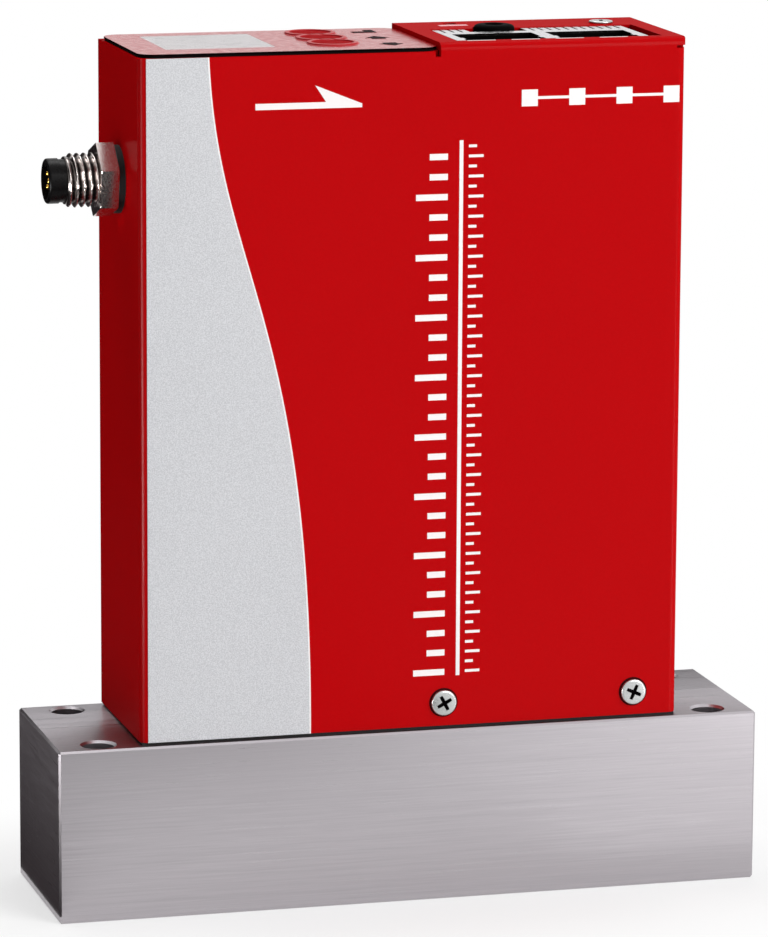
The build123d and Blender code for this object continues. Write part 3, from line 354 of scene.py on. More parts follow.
@dataclass(frozen=True)
class ShadedEdgeFinish(Finish):
    """Sheet whose level face keeps its colour and whose cut edges are painted dark, as the shade that falls
    there.
    """

    # Colour of the painted shade on the cut edges.
    edge: str = "0a0506"

    def tint(self, tree: Tree, grain: Socket, drift: Socket) -> Socket:
        """Keeps the finish's colour on the level face and paints the dark shade colour on the cut edges."""
        face = super().tint(tree, grain, drift)
        ends = {"Factor": self.unshaded_face_share(tree), "A": linear(self.edge), "B": face}
        return add_node(tree, "ShaderNodeMix", {"data_type": "RGBA"}, ends).outputs["Result"]

    def unshaded_face_share(self, tree: Tree) -> Socket:
        """1 where the surface looks up in the object's own axes, 0 on the cut edges that get the painted
        shade.
        """
        facing = add_node(tree, "ShaderNodeTexCoord").outputs["Normal"]
        height = add_node(tree, "ShaderNodeSeparateXYZ", None, {0: facing}).outputs["Z"]
        limit = {0: height, 1: FACING}
        return add_node(tree, "ShaderNodeMath", {"operation": "GREATER_THAN"}, limit).outputs[0]

    def shader_inputs(self, tree: Tree, place: Socket, grain: Socket) -> dict[str, object]:
        """Takes the sheen off the cut edges."""
        share = {0: self.unshaded_face_share(tree), 1: self.specular}
        sheen = add_node(tree, "ShaderNodeMath", {"operation": "MULTIPLY"}, share).outputs[0]
        return super().shader_inputs(tree, place, grain) | {"Specular IOR Level": sheen}


@dataclass(frozen=True)
class ClearFilm(Finish):
    """Clear polyester: lets light through and keeps a glossy face."""

    transmission: float = 0.85

    def shader_inputs(self, tree: Tree, place: Socket, grain: Socket) -> dict[str, object]:
        """Adds transmission to the sockets of the main shader."""
        return super().shader_inputs(tree, place, grain) | {"Transmission Weight": self.transmission}


# Satin powder coat, sprayed and baked on folded steel: saturated, with an orange-peel grain under thin gloss.
POWDER_COAT = Finish(
    "red_powder_coat", "red_paint", "b80308", "9c0206", 0.55, grain_mm=0.4, swing=0.35, drift_swing=0.15,
    relief_mm=0.008, rough_swing=0.05, specular=0.0, coat=0.07, coat_roughness=0.22,
)
# Austenitic stainless steel, belt-ground: grey with fine scratches that stretch the highlights.
GROUND_STEEL = GroundSteel(
    "ground_stainless_steel", "stainless_ground", "c2bdc1", "928d92", 0.34, metallic=1.0, grain_mm=0.08,
    detail=3.0, swing=0.7, drift_swing=0.05, relief_mm=0.0014, rough_swing=0.08, anisotropy=0.6,
)
# Turned and milled stainless steel inside the housing and on the valve: brighter, with tool marks.
TURNED_STEEL = Finish(
    "turned_stainless_steel", "stainless_turned", "b4b4b6", "98989b", 0.26, metallic=1.0, grain_mm=0.2,
    relief_mm=0.003, along=Along.Z,
)
# Rolled spring steel of the washers and the diaphragm.
SPRING_STEEL = Finish(
    "rolled_spring_steel", "stainless_spring", "a6a6aa", "8c8c90", 0.22, metallic=1.0, grain_mm=0.3,
    relief_mm=0.002, along=Along.X,
)
# Silver film printed on the coat: pale grey, speckled by the coat's grain under it.
SILVER_FILM = SpeckledFilm(
    "silver_printed_film", "label_silver", "d2d3d6", "aeafb3", 0.5, grain_mm=0.17, detail=3.0,
    swing=0.7, drift_swing=0.1, relief_mm=0.012, specular=0.3,
)
# Glossy red polyester overlay: a smooth face that mirrors the room at a flat angle, with its cut edges
# painted dark as shade.
OVERLAY = ShadedEdgeFinish(
    "glossy_red_overlay", "panel_red", "ac121c", "990f18", 0.22, grain_mm=1.2, relief_mm=0.004, specular=0.28,
    rough_swing=0.05,
)
# Embossed rims of the same film, stretched over a tool, so a little duller.
EMBOSSED_RED = Finish(
    "embossed_red_rim", "panel_red", "b01420", "9c101a", 0.4, grain_mm=0.5, relief_mm=0.004, specular=0.25,
)
# Satin red key tops, worn smooth where fingers rub.
KEY_RED = Finish(
    "satin_red_key", "key_red", "a00a11", "8c080e", 0.7, grain_mm=0.4, relief_mm=0.006, specular=0.02,
)
# Black closed-cell adhesive spacer.
BLACK_FOAM = Finish(
    "black_adhesive_foam", "panel_black", "060505", "120f0f", 0.9, grain_mm=0.25, swing=0.8, relief_mm=0.02,
    specular=0.05,
)
# Spark-eroded black moulding, as nylon or liquid-crystal polymer leaves the tool.
BLACK_MOULDED = Finish(
    "black_moulded_nylon", "black_plastic", "060505", "110f10", 0.3, grain_mm=0.3, swing=0.5, relief_mm=0.004,
    specular=0.08,
)
# Deep black socket mouldings, matt so that they swallow light.
BLACK_SOCKET = Finish(
    "matt_black_socket", "black_plastic", "030303", "090808", 0.6, grain_mm=0.3, swing=0.5, relief_mm=0.004,
    specular=0.01,
)
# Painted shadow: a dark ring on the coat round each wall screw's head.
SCREW_SHADOW_PAINT = Finish(
    "painted_screw_shadow", "red_paint", "3c0305", "240203", 0.7, grain_mm=0.3, swing=0.6, relief_mm=0.006,
    specular=0.05,
)
# Nitrile rubber, matt from the mould; the same black, round the casing's foot, is painted shade in the slit.
BLACK_RUBBER = Finish(
    "black_nitrile_rubber", "black_rubber", "0e0c0d", "1a1818", 0.6, grain_mm=0.4, swing=0.6, relief_mm=0.01,
    specular=0.25,
)
# Dark printing ink on the overlay.
BLACK_INK = Finish(
    "black_screen_ink", "panel_black", "0e0305", "1c0608", 0.6, grain_mm=0.3, swing=0.5, relief_mm=0.004,
    specular=0.02,
)
# Bright tin on a stamped brass shield: soft mirror with a faint cloud; its cut edges and walls are painted
# dark as shade.
TIN_PLATE = ShadedEdgeFinish(
    "tin_plated_brass", "jack_tin", "d6d6d8", "a9a9ae", 0.24, metallic=1.0, grain_mm=0.8, swing=0.5,
    relief_mm=0.005, edge="262424",
)
# Thin gold over nickel on sprung contacts and turned pins.
GOLD_PLATE = Finish(
    "gold_plated_contact", "gold", "dcae4e", "c4923a", 0.18, metallic=1.0, grain_mm=0.6, relief_mm=0.002,
)
# Nickel-plated brass, turned: a warm bright mirror with fine tool marks.
NICKEL_PLATE = Finish(
    "nickel_plated_brass", "nickel", "ddd5d2", "bdb4b0", 0.16, metallic=1.0, grain_mm=0.25, relief_mm=0.002,
    rough_swing=0.04,
)
# The same plating on a thread, with painted shade darkening the grooves.
NICKEL_THREAD = RecessedSteel(
    "nickel_plated_thread", "nickel", "ddd5d2", "bdb4b0", 0.16, metallic=1.0, grain_mm=0.25, relief_mm=0.002,
    rough_swing=0.04, recess_shade="181210",
)
# Nickel-plated cross screws of the casing, with the cross recess painted dark as shade, and plain ones on the
# boards.
HEAD_STEEL = RecessedSteel(
    "plated_cross_head_steel", "screw_steel", "c9cbca", "9b9e9e", 0.3, metallic=1.0, grain_mm=0.35, swing=0.8,
    relief_mm=0.008,
)
SCREW_STEEL = Finish(
    "nickel_plated_screw_steel", "screw_steel", "cfccc6", "b0ada8", 0.24, metallic=1.0, grain_mm=0.3,
    relief_mm=0.003,
)
# Rolled aluminium sheet, as it comes from the mill.
ALUMINIUM = Finish(
    "rolled_aluminium_sheet", "aluminium_sheet", "c2c4c6", "a9abad", 0.36, metallic=1.0, grain_mm=0.3,
    relief_mm=0.004, along=Along.X,
)
# Green mask over copper tracks.
SOLDER_MASK = SolderMask(
    "green_solder_mask", "board_green", "0e4a26", "1c6a38", 0.3, grain_mm=3.2, relief_mm=0.004,
)
# Dipped resin round the piezo stack.
PIEZO_RESIN = Finish(
    "brown_dipping_resin", "piezo_resin", "6e3413", "4f240d", 0.28, grain_mm=1.8, relief_mm=0.03,
)
# Sintered ceramic, wire insulation and polyimide strip.
CERAMIC = Finish("white_ceramic", "ceramic_white", "ecebe4", "d9d7cf", 0.4, grain_mm=0.4, relief_mm=0.004)
WIRE_COAT = Finish("white_wire_insulation", "wire_insulation", "d4d3cc", "bdbcb4", 0.45, grain_mm=0.5)
POLYIMIDE = Finish("amber_polyimide", "flex_amber", "b96a18", "8f4c0f", 0.25, grain_mm=1.0, relief_mm=0.004)
# Blank display glass, and the clear window over it.
DARK_GLASS = Finish(
    "grey_display_glass", "display_dark", "6c696e", "5c595e", 0.2, grain_mm=6.0, drift_mm=12.0,
)
CLEAR_WINDOW = ClearFilm(
    "clear_polyester_window", "display_clear", "dcd3d7", "cdc3c8", 0.12, grain_mm=2.0, swing=0.1,
    specular=0.25,
)
# Smoked light pipe over an unlit lamp.
SMOKED_LENS = Finish(
    "smoked_light_pipe", "lens_clear", "171b18", "0e110f", 0.08, grain_mm=1.0, swing=0.2,
)
# White screen-printing ink on the coat, a little chalky, so it follows the coat's grain.
WHITE_INK = Finish(
    "white_screen_ink", "label_silver", "f4efee", "e6dedd", 0.5, grain_mm=0.35, swing=0.4, relief_mm=0.008,
    specular=0.3,
)
PINK_INK = Finish(
    "thin_white_ink_on_red", "label_silver", "eeb6bb", "e29aa2", 0.5, grain_mm=0.5, swing=0.5, specular=0.2,
)


# ---- surfaces ------------------------------------------------------------------------------------
@dataclass
class Shell:
    """Faces of one piece, gathered from grids of points in millimetres."""

    name: str
    mask_name: str = "mask"

    def __post_init__(self) -> None:
        """Starts with no points and no faces."""
        self.points: list[np.ndarray] = []
        self.values: list[np.ndarray] = []
        self.faces: list[list[int]] = []
        self.count = 0

    def add_grid(
        self, grid: np.ndarray, wrap_u: bool = False, wrap_v: bool = False, mask: np.ndarray | None = None
    ) -> None:
        """Adds the quads between neighbouring rows u and columns v of a grid.

        Args:
            grid: Points as (u, v, 3).
            wrap_u: Joins the last row to the first.
            wrap_v: Joins the last column to the first.
            mask: Value of each point as (u, v), which the finish may read; 0 where there is none.
        """
        rows, columns = grid.shape[:2]
        index = np.arange(rows * columns).reshape(rows, columns) + self.count
        if wrap_u:
            index = np.concatenate([index, index[:1]], axis=0)
        if wrap_v:
            index = np.concatenate([index, index[:, :1]], axis=1)
        quads = np.stack([index[:-1, :-1], index[1:, :-1], index[1:, 1:], index[:-1, 1:]], axis=-1)
        self.points.append(grid.reshape(-1, 3))
        self.values.append(np.zeros(rows * columns) if mask is None else mask.reshape(-1).astype(float))
        self.faces += quads.reshape(-1, 4).tolist()
        self.count += rows * columns

    def add_tube(self, grid: np.ndarray) -> None:
        """Adds a grid that is closed round v, with a flat face over its first row and its last."""
        start = self.count
        self.add_grid(grid, wrap_v=True)
        columns = grid.shape[1]
        self.faces.append(list(range(start + columns - 1, start - 1, -1)))
        self.faces.append(list(range(self.count - columns, self.count)))

    def add_plate(self, outline: np.ndarray, normal: np.ndarray, depth: float = INK) -> None:
        """Adds a closed flat plate: the outline, and the outline moved by depth along the normal.

        Args:
            outline: Corner points as (n, 3).
            normal: Unit vector across the plate.
            depth: Thickness in millimetres.
        """
        self.add_tube(np.stack([outline, outline + normal * depth]))

    def make(self, smooth_deg: float = 35) -> bpy.types.Object:
        """Turns the gathered faces into one object at the origin, in metres, faces outwards.

        Args:
            smooth_deg: Edges flatter than this are shaded smooth.

        Returns:
            The new object.
        """
        mesh = bpy.data.meshes.new(self.name)
        mesh.from_pydata((np.concatenate(self.points) * MM).tolist(), [], self.faces)
        values = np.concatenate(self.values)
        if values.any():
            mesh.attributes.new(self.mask_name, "FLOAT", "POINT").data.foreach_set("value", values)
        work = bmesh.new()
        work.from_mesh(mesh)
        bmesh.ops.remove_doubles(work, verts=work.verts, dist=1e-7)
        bmesh.ops.recalc_face_normals(work, faces=work.faces)
        work.to_mesh(mesh)
        work.free()
        mesh.shade_smooth()
        mesh.set_sharp_from_angle(angle=math.radians(smooth_deg))
        return add_object(self.name, mesh)


def turned(profile: np.ndarray, origin: np.ndarray, axis: np.ndarray, steps: int = 72) -> np.ndarray:
    """Surface of revolution: each profile point (along, radius) goes round the axis.

    Args:
        profile: Points as (n, 2), along the axis and away from it.
        origin: Point on the axis.
        axis: Unit vector.
        steps: Points round the axis.

    Returns:
        Grid of origin + axis * along + radius * (cos a * e1 + sin a * e2).
    """
    helper = UP if abs(axis[2]) < FACING else RIGHT
    first = np.cross(helper, axis)
    first /= np.linalg.norm(first)
    second = np.cross(axis, first)
    angle = np.linspace(0, 2 * math.pi, steps, endpoint=False)
    ring = np.cos(angle)[:, None] * first + np.sin(angle)[:, None] * second
    return origin + profile[:, :1, None] * axis + profile[:, 1:, None] * ring[None]


def rounded(start: tuple[float, float], corner: tuple[float, float], end: tuple[float, float]) -> np.ndarray:
    """Quarter-round from start to end: the curve (1-t)^2 start + 2t(1-t) corner + t^2 end."""
    t = np.linspace(0, 1, 6)[:, None]
    return (1 - t) ** 2 * np.array(start) + 2 * t * (1 - t) * np.array(corner) + t**2 * np.array(end)


def across(line: np.ndarray) -> np.ndarray:
    """Unit normals of a line of points (n, 2): its direction turned by a quarter."""
    run = np.gradient(line, axis=0)
    run /= np.linalg.norm(run, axis=1)[:, None]
    return np.column_stack([-run[:, 1], run[:, 0]])


def level_bar(x0: float, x1: float, y0: float, y1: float, z: float) -> np.ndarray:
    """Corners of a level rectangle."""
    return np.array([(x0, y0, z), (x1, y0, z), (x1, y1, z), (x0, y1, z)])


def corners(node: str) -> tuple[np.ndarray, np.ndarray]:
    """Lowest and highest corner of a CAD node, in millimetres."""
    low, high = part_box(node)
    return np.array(low) / MM, np.array(high) / MM


def dress(finish: Finish, *nodes: str) -> None:
    """Gives CAD nodes their material."""
    for node in nodes:
        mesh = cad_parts[node].data
        mesh.materials.clear()
        mesh.materials.append(finish.material())
        LOG.info("dressed %s: %s", node, finish.name)


def place_piece(piece: bpy.types.Object, finish: Finish, stands_for: tuple[str, ...] = ()) -> None:
    """Gives a new piece its material, and lets it ride on the housing.

    Args:
        piece: The new object.
        finish: Its finish.
        stands_for: CAD nodes that it replaces.
    """
    piece.data.materials.append(finish.material())
    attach(piece, HOUSING)
    if stands_for:
        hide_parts(*stands_for)
    LOG.info("built %s: %s", piece.name, finish.name)



# ---- sub-assemblies ------------------------------------------------------------------------------
@dataclass
class FlowBlock:
    """Ground block with what it carries: valve, sensors, restrictor and their screws."""

    turned: tuple[str, ...] = (
        "flow_restrictor", "restrictor_plug", "thermistor", "cap_screws", "valve_seat", "valve_bonnet",
        "valve_plunger", "piezo_foot", "valve_case", "valve_cap", "preload_screw", "preload_nut",
        "pressure_sensor_1", "pressure_sensor_2", "sensor_clamp_1", "sensor_clamp_2",
    )
    sprung: tuple[str, ...] = ("valve_diaphragm", "valve_springs")
    sealed: tuple[str, ...] = ("valve_seal", "sensor_seals", "restrictor_seal")

    def build(self) -> None:
        """Dresses the block and the gas side."""
        dress(GROUND_STEEL, "base_block")
        dress(TURNED_STEEL, *self.turned)
        dress(SPRING_STEEL, *self.sprung)
        dress(NICKEL_PLATE, *self.sealed)
        dress(PIEZO_RESIN, "piezo_stack")
        dress(WIRE_COAT, "valve_leads")


@dataclass
class Electronics:
    """Boards and what is on them, with the chassis that carries them."""

    boards: tuple[str, ...] = ("main_board", "comms_board", "display_board", "power_board")
    black: tuple[str, ...] = ("main_board_parts", "board_headers", "tact_switches")
    plungers: tuple[str, ...] = ("switch_plunger_1", "switch_plunger_2", "switch_plunger_3")

    def build(self) -> None:
        """Dresses boards, parts and chassis."""
        dress(SOLDER_MASK, *self.boards)
        dress(BLACK_MOULDED, *self.black)
        dress(ALUMINIUM, "chassis")
        dress(NICKEL_PLATE, "pcb_standoffs")
        dress(SCREW_STEEL, "pcb_screws")
        dress(POLYIMIDE, "sensor_flexes")
        dress(CERAMIC, *self.plungers)


@dataclass
class PowerConnector:
    """Round plug on the left wall: threaded shell with its hexagon, insulator, pins and gasket.

    The thread's wave is a triangle whose height is wave_gain, less crest_flat, so that clipping leaves
    flat crests and roots. It fades in over run_in from a tip that is turned down by run_in_depth of the
    thread's depth. Painted shade darkens the groove from its root outwards, and recess_shade_gain over
    one leaves the crest's flanks unshaded.
    """

    pitch: float = 1.0
    thread_d: float = 7.8
    thread_depth: float = 0.56
    wave_gain: float = 1.25
    crest_flat: float = 0.12
    run_in: float = 0.7
    run_in_depth: float = 0.9
    recess_shade_gain: float = 1.3
    tip_chamfer: float = 0.62
    tip_length: float = 0.02
    wall: float = 0.9
    hex_flats: float = 9.6
    hex_length: float = 2.6
    hex_flat_deg: float = 10.5
    hex_bevel: float = 0.05
    hex_collar: float = 0.03
    pin_d: float = 0.8
    pin_circle: float = 1.35
    pin_nose: float = 0.8
    around: int = 120
    thread_rows: int = 110

    def build(self) -> None:
        """Replaces the plain shell and pins, and dresses the rest."""
        self.shell()
        self.pins()
        dress(BLACK_MOULDED, "plug_insert")
        dress(BLACK_RUBBER, "plug_gasket")
        dress(NICKEL_PLATE, "plug_nut")

    def hex_radius(self, angle: np.ndarray) -> np.ndarray:
        """Radius of the hexagon at an angle: half the flats over the cosine from the flat's middle."""
        off = (angle - math.radians(self.hex_flat_deg) + SECTOR / 2) % SECTOR - SECTOR / 2
        return self.hex_flats / 2 / np.cos(off)

    def thread_radius(self, x: np.ndarray, angle: np.ndarray, tip: float) -> np.ndarray:
        """Thread radius at stations x for each angle: outer radius less depth times the faded wave.

        Args:
            x: Stations along the plug.
            angle: Angles round it.
            tip: Station of the free end.

        Returns:
            Radii as (x, angle).
        """
        phase = (x[:, None] / self.pitch - angle[None] / (2 * math.pi)) % 1.0
        wave = np.clip(np.abs(phase - 0.5) * 2 * self.wave_gain - self.crest_flat, 0, 1)
        fade = np.clip((x[:, None] - tip) / self.run_in, 0, 1)
        return self.thread_d / 2 - self.thread_depth * (wave * fade + (1 - fade) * self.run_in_depth)

    def shell(self) -> None:
        """Threaded shell as one closed surface r(x, a), row by row from the bore to the thread and the nut.

        On the hexagon r is the hexagon's radius, cut by a 30 degree cone at both faces.
        """
        low, high = corners("plug_shell")
        tip, end = low[0], high[0]
        centre = (low + high) / 2
        hex_right = corners("plug_gasket")[0][0]
        hex_left = hex_right - self.hex_length
        thread_r, bevel = self.thread_d / 2, self.hex_bevel
        # Half a step on, the angles meet the hexagon's corners.
        angle = (np.arange(self.around) + 0.5) * 2 * math.pi / self.around
        flat = self.hex_radius(angle)[None]
        slope = math.tan(SECTOR)
        face_r = self.hex_flats / 2 / math.cos(SECTOR / 2) - bevel * slope
        cone = face_r + np.array([[0.0], [bevel]]) * slope
        stations = np.linspace(tip + self.tip_length, hex_left, self.thread_rows)
        thread = self.thread_radius(stations, angle, tip)
        # The collars, rows that repeat the flats, keep the bevels' soft shading off them.
        collar_left = hex_left + 2 * bevel + np.array([0.0, self.hex_collar])
        collar_right = hex_right - 2 * bevel - np.array([self.hex_collar, 0.0])
        rows = (
            ((end, tip), thread_r - self.wall),
            ((tip,), thread_r - self.tip_chamfer),
            (stations, thread),
            ((hex_left, hex_left + bevel), np.minimum(flat, cone)),
            (collar_left, flat),
            (collar_right, flat),
            ((hex_right - bevel, hex_right), np.minimum(flat, cone[::-1])),
            ((hex_right, end), thread_r),
        )
        x = np.concatenate([at for at, _ in rows])[:, None]
        r = np.concatenate([np.broadcast_to(radii, (len(at), self.around)) for at, radii in rows])
        # Painted shade in the thread's grooves, darkest at the root, kept as a mask on the shell.
        depth = (thread_r - thread) / self.thread_depth
        groove = np.zeros_like(r)
        groove[3 : 3 + len(stations)] = np.clip(1 - (1 - depth) * self.recess_shade_gain, 0, 1)
        ring = (centre[1] + r * np.cos(angle), centre[2] + r * np.sin(angle))
        shell = Shell("plug_shell_threaded", NICKEL_THREAD.mask)
        shell.add_grid(np.stack([np.broadcast_to(x, r.shape), *ring], axis=-1), True, True, groove)
        place_piece(shell.make(smooth_deg=32), NICKEL_THREAD, stands_for=("plug_shell",))

    def pins(self) -> None:
        """Five pins with rounded tips: a turned profile (along, radius) for each."""
        low, high = corners("plug_pins")
        middle = (low + high) / 2
        radius = self.pin_d / 2
        length = high[0] - low[0]
        tip = rounded((0.0, 0.0), (0.0, radius), (radius * self.pin_nose, radius))
        profile = np.concatenate([tip, [(length, radius), (length, 0.0)]])
        reach = self.pin_circle * math.cos(math.radians(45))
        shell = Shell("plug_pins_turned")
        for y, z in ((0, 0), (-reach, -reach), (-reach, reach), (reach, -reach), (reach, reach)):
            origin = np.array([low[0], middle[1] + y, middle[2] + z])
            shell.add_grid(turned(profile, origin, RIGHT, 20), wrap_v=True)
        place_piece(shell.make(), GOLD_PLATE, stands_for=("plug_pins",))


@dataclass
class ConnectorTop:
    """Network jacks, service jack, light pipe and the print round them.

    contact_bend holds points of a contact's bent end, in from the socket's back and down from its top,
    and contact_tip is the free end's place in from the back and up from the foot. nose_shoulder is the
    round's reach in from the side and down from the top. dash_x holds start, limit and pitch.
    """

    contact_width: float = 0.46
    contact_thick: float = 0.3
    contact_pitch: float = 1.02
    contacts: int = 8
    contact_drop: float = 1.5
    contact_bend: tuple[tuple[float, float], ...] = (
        (0.0, 0.9), (0.12, 0.35), (0.5, 0.0), (0.95, 0.3), (1.5, 2.0),
    )
    contact_tip: tuple[float, float] = (2.3, 0.8)
    nose_y: float = 3.7
    nose_d: float = 6.0
    nose_bore_d: float = 2.6
    nose_root: float = 6.0
    nose_lip: float = 0.2
    nose_shoulder: tuple[float, float] = (0.9, 0.7)
    nose_step: float = 0.05
    body_gap: float = 0.1
    dash_x: tuple[float, float, float] = (8.2, 34.0, 6.6)
    dash_y: tuple[float, float] = (-11.55, -11.15)
    dash_length: float = 4.2
    patch: tuple[float, float, float, float] = (9.5, 13.8, 7.5, 8.8)

    def build(self) -> None:
        """Dresses the jacks and adds bent contacts and print."""
        dress(TIN_PLATE, "jack_shield")
        dress(BLACK_SOCKET, "jack_insert_1", "jack_insert_2")
        dress(SMOKED_LENS, "status_lens")
        self.bent_contacts()
        self.service_nose()
        self.top_marks()

    def service_nose(self) -> None:
        """Service jack: a body under the sheet and a round nose with a domed shoulder.

        The nose is the turned profile (z, r): up the bore, over the rounded shoulder, down the outside.
        """
        low, high = corners("service_jack")
        middle = np.array([(low[0] + high[0]) / 2, self.nose_y, 0.0])
        body_top = corners("rear_cover")[1][2] - self.body_gap
        root = body_top - self.nose_root
        radius, bore, top = self.nose_d / 2, self.nose_bore_d / 2, high[2]
        lip, step, (inward, down) = self.nose_lip, self.nose_step, self.nose_shoulder
        profile = np.concatenate([
            [(root, bore), (top - lip - step, bore)],
            rounded((top - lip, bore), (top, bore), (top, bore + lip)),
            rounded((top, radius - inward), (top - step, radius), (top - down, radius)),
            [(body_top, radius), (root, radius)],
        ])
        shell = Shell("service_jack_domed")
        shell.add_grid(turned(profile, middle, UP), wrap_u=True, wrap_v=True)
        shell.add_plate(level_bar(low[0], high[0], low[1], high[1], low[2]), UP, root - low[2])
        place_piece(shell.make(), BLACK_SOCKET, stands_for=("service_jack",))

    def bent_contacts(self) -> None:
        """Contact wires that come down the socket's back and lean into it.

        Each is a strip carried along a line of points (y, z): up the back wall, round a tight bend at
        the mouth's side, then slanting back into the socket.
        """
        low, high = corners("jack_contacts")
        back, bottom, top = high[1], low[2], high[2] - self.contact_drop
        bend = [(back - inward, top - down) for inward, down in self.contact_bend]
        line = np.array([(back, bottom), *bend, (back - self.contact_tip[0], bottom + self.contact_tip[1])])
        inner = line + across(line) * self.contact_thick
        shell = Shell("jack_contacts_bent")
        for insert in ("jack_insert_1", "jack_insert_2"):
            edges = corners(insert)
            middle = (edges[0][0] + edges[1][0]) / 2
            for index in range(self.contacts):
                x = middle + (index - (self.contacts - 1) / 2) * self.contact_pitch
                left, right = x - self.contact_width / 2, x + self.contact_width / 2
                loop = [(left, line), (right, line), (right, inner), (left, inner)]
                strips = [np.column_stack([np.full(len(path), at), path]) for at, path in loop]
                shell.add_tube(np.stack(strips, axis=1))
        place_piece(shell.make(smooth_deg=40), GOLD_PLATE, stands_for=("jack_contacts",))

    def top_marks(self) -> None:
        """A row of short pale dashes and one pale printed patch on the top."""
        top = corners("front_casing")[1][2]
        white = Shell("top_pale_dashes")
        for x0 in np.arange(*self.dash_x):
            white.add_plate(level_bar(x0, x0 + self.dash_length, *self.dash_y, top), UP)
        place_piece(white.make(), WHITE_INK)
        pink = Shell("top_print_pale")
        pink.add_plate(level_bar(*self.patch, top), UP)
        place_piece(pink.make(), PINK_INK)


class Sign(Enum):
    """Sign beside a key; the arrows' values are the way that they point along Y."""

    DOWN = -1.0
    UP = 1.0
    ENTER = 0.0

    def outlines(self) -> list[np.ndarray]:
        """Outlines (x, y) of the sign: a triangle and a tail bar, or two bars that meet at a corner."""
        if self is Sign.ENTER:
            bars = (
                [(0.0, -1.6), (3.6, -1.6), (3.6, 0.0), (0.0, 0.0)],
                [(2.2, 0.0), (3.6, 0.0), (3.6, 1.7), (2.2, 1.7)],
            )
            return [np.array(bar) for bar in bars]
        head = [(0.0, -0.4), (3.6, -0.4), (1.8, 1.8)]
        tail = [(0.8, -0.4), (2.8, -0.4), (2.8, -1.6), (0.8, -1.6)]
        return [np.array(outline) * (1.0, self.value) for outline in (head, tail)]


@dataclass
class DisplayPanel:
    """Overlay with its window, keys, embossed rims and short legends."""

    key_caps: tuple[str, ...] = ("key_cap_1", "key_cap_2", "key_cap_3")
    key_x: float = -9.9
    key_y: tuple[float, ...] = (-4.6, 1.85, 8.3)
    rim_in: float = 3.05
    rim_out: float = 3.68
    rim_height: float = 0.24
    rim_round: float = 0.12
    rim_shoulder: float = 0.6
    rim_waist: float = 0.5
    rim_fillet: float = 0.02
    rim_skirt: float = 0.2
    rim_sunk: float = 0.05
    legend_x: float = -3.7
    legends: tuple[tuple[float, Sign], ...] = ((-7.5, Sign.DOWN), (0.8, Sign.UP), (8.8, Sign.ENTER))

    def build(self) -> None:
        """Dresses the panel and adds rims and legends."""
        dress(BLACK_FOAM, "panel_spacer")
        dress(OVERLAY, "panel_film")
        dress(CLEAR_WINDOW, "display_window")
        dress(DARK_GLASS, "display_module")
        dress(KEY_RED, *self.key_caps)
        # The window shares the overlay's face.
        top = corners("display_window")[1][2]
        self.rims(top)
        self.print_legends(top)

    def rims(self, top: float) -> None:
        """Rounded rims that lie over the film's rings: a turned profile with soft shoulders."""
        inner, outer, height = self.rim_in, self.rim_out, self.rim_height
        turn, skirt, shoulder = self.rim_round, self.rim_skirt, height * self.rim_shoulder
        profile = np.concatenate([
            [(-self.rim_sunk, inner)],
            rounded((shoulder, inner), (height, inner), (height, inner + turn)),
            rounded((height, outer - turn), (height, outer), (shoulder, outer)),
            rounded(
                (height * self.rim_waist, outer), (0.0, outer + self.rim_fillet), (0.0, outer + skirt)
            ),
            [(-self.rim_sunk, outer + skirt)],
        ])
        shell = Shell("key_rims_embossed")
        for y in self.key_y:
            shell.add_grid(turned(profile, np.array([self.key_x, y, top]), UP), wrap_u=True, wrap_v=True)
        place_piece(shell.make(), EMBOSSED_RED)

    def print_legends(self, top: float) -> None:
        """Dark signs beside the keys, as thin plates on the film."""
        shell = Shell("key_legends")
        for y, sign in self.legends:
            for outline in sign.outlines():
                flat = np.column_stack([outline + (self.legend_x, y), np.full(len(outline), top)])
                shell.add_plate(flat, UP)
        place_piece(shell.make(), BLACK_INK)


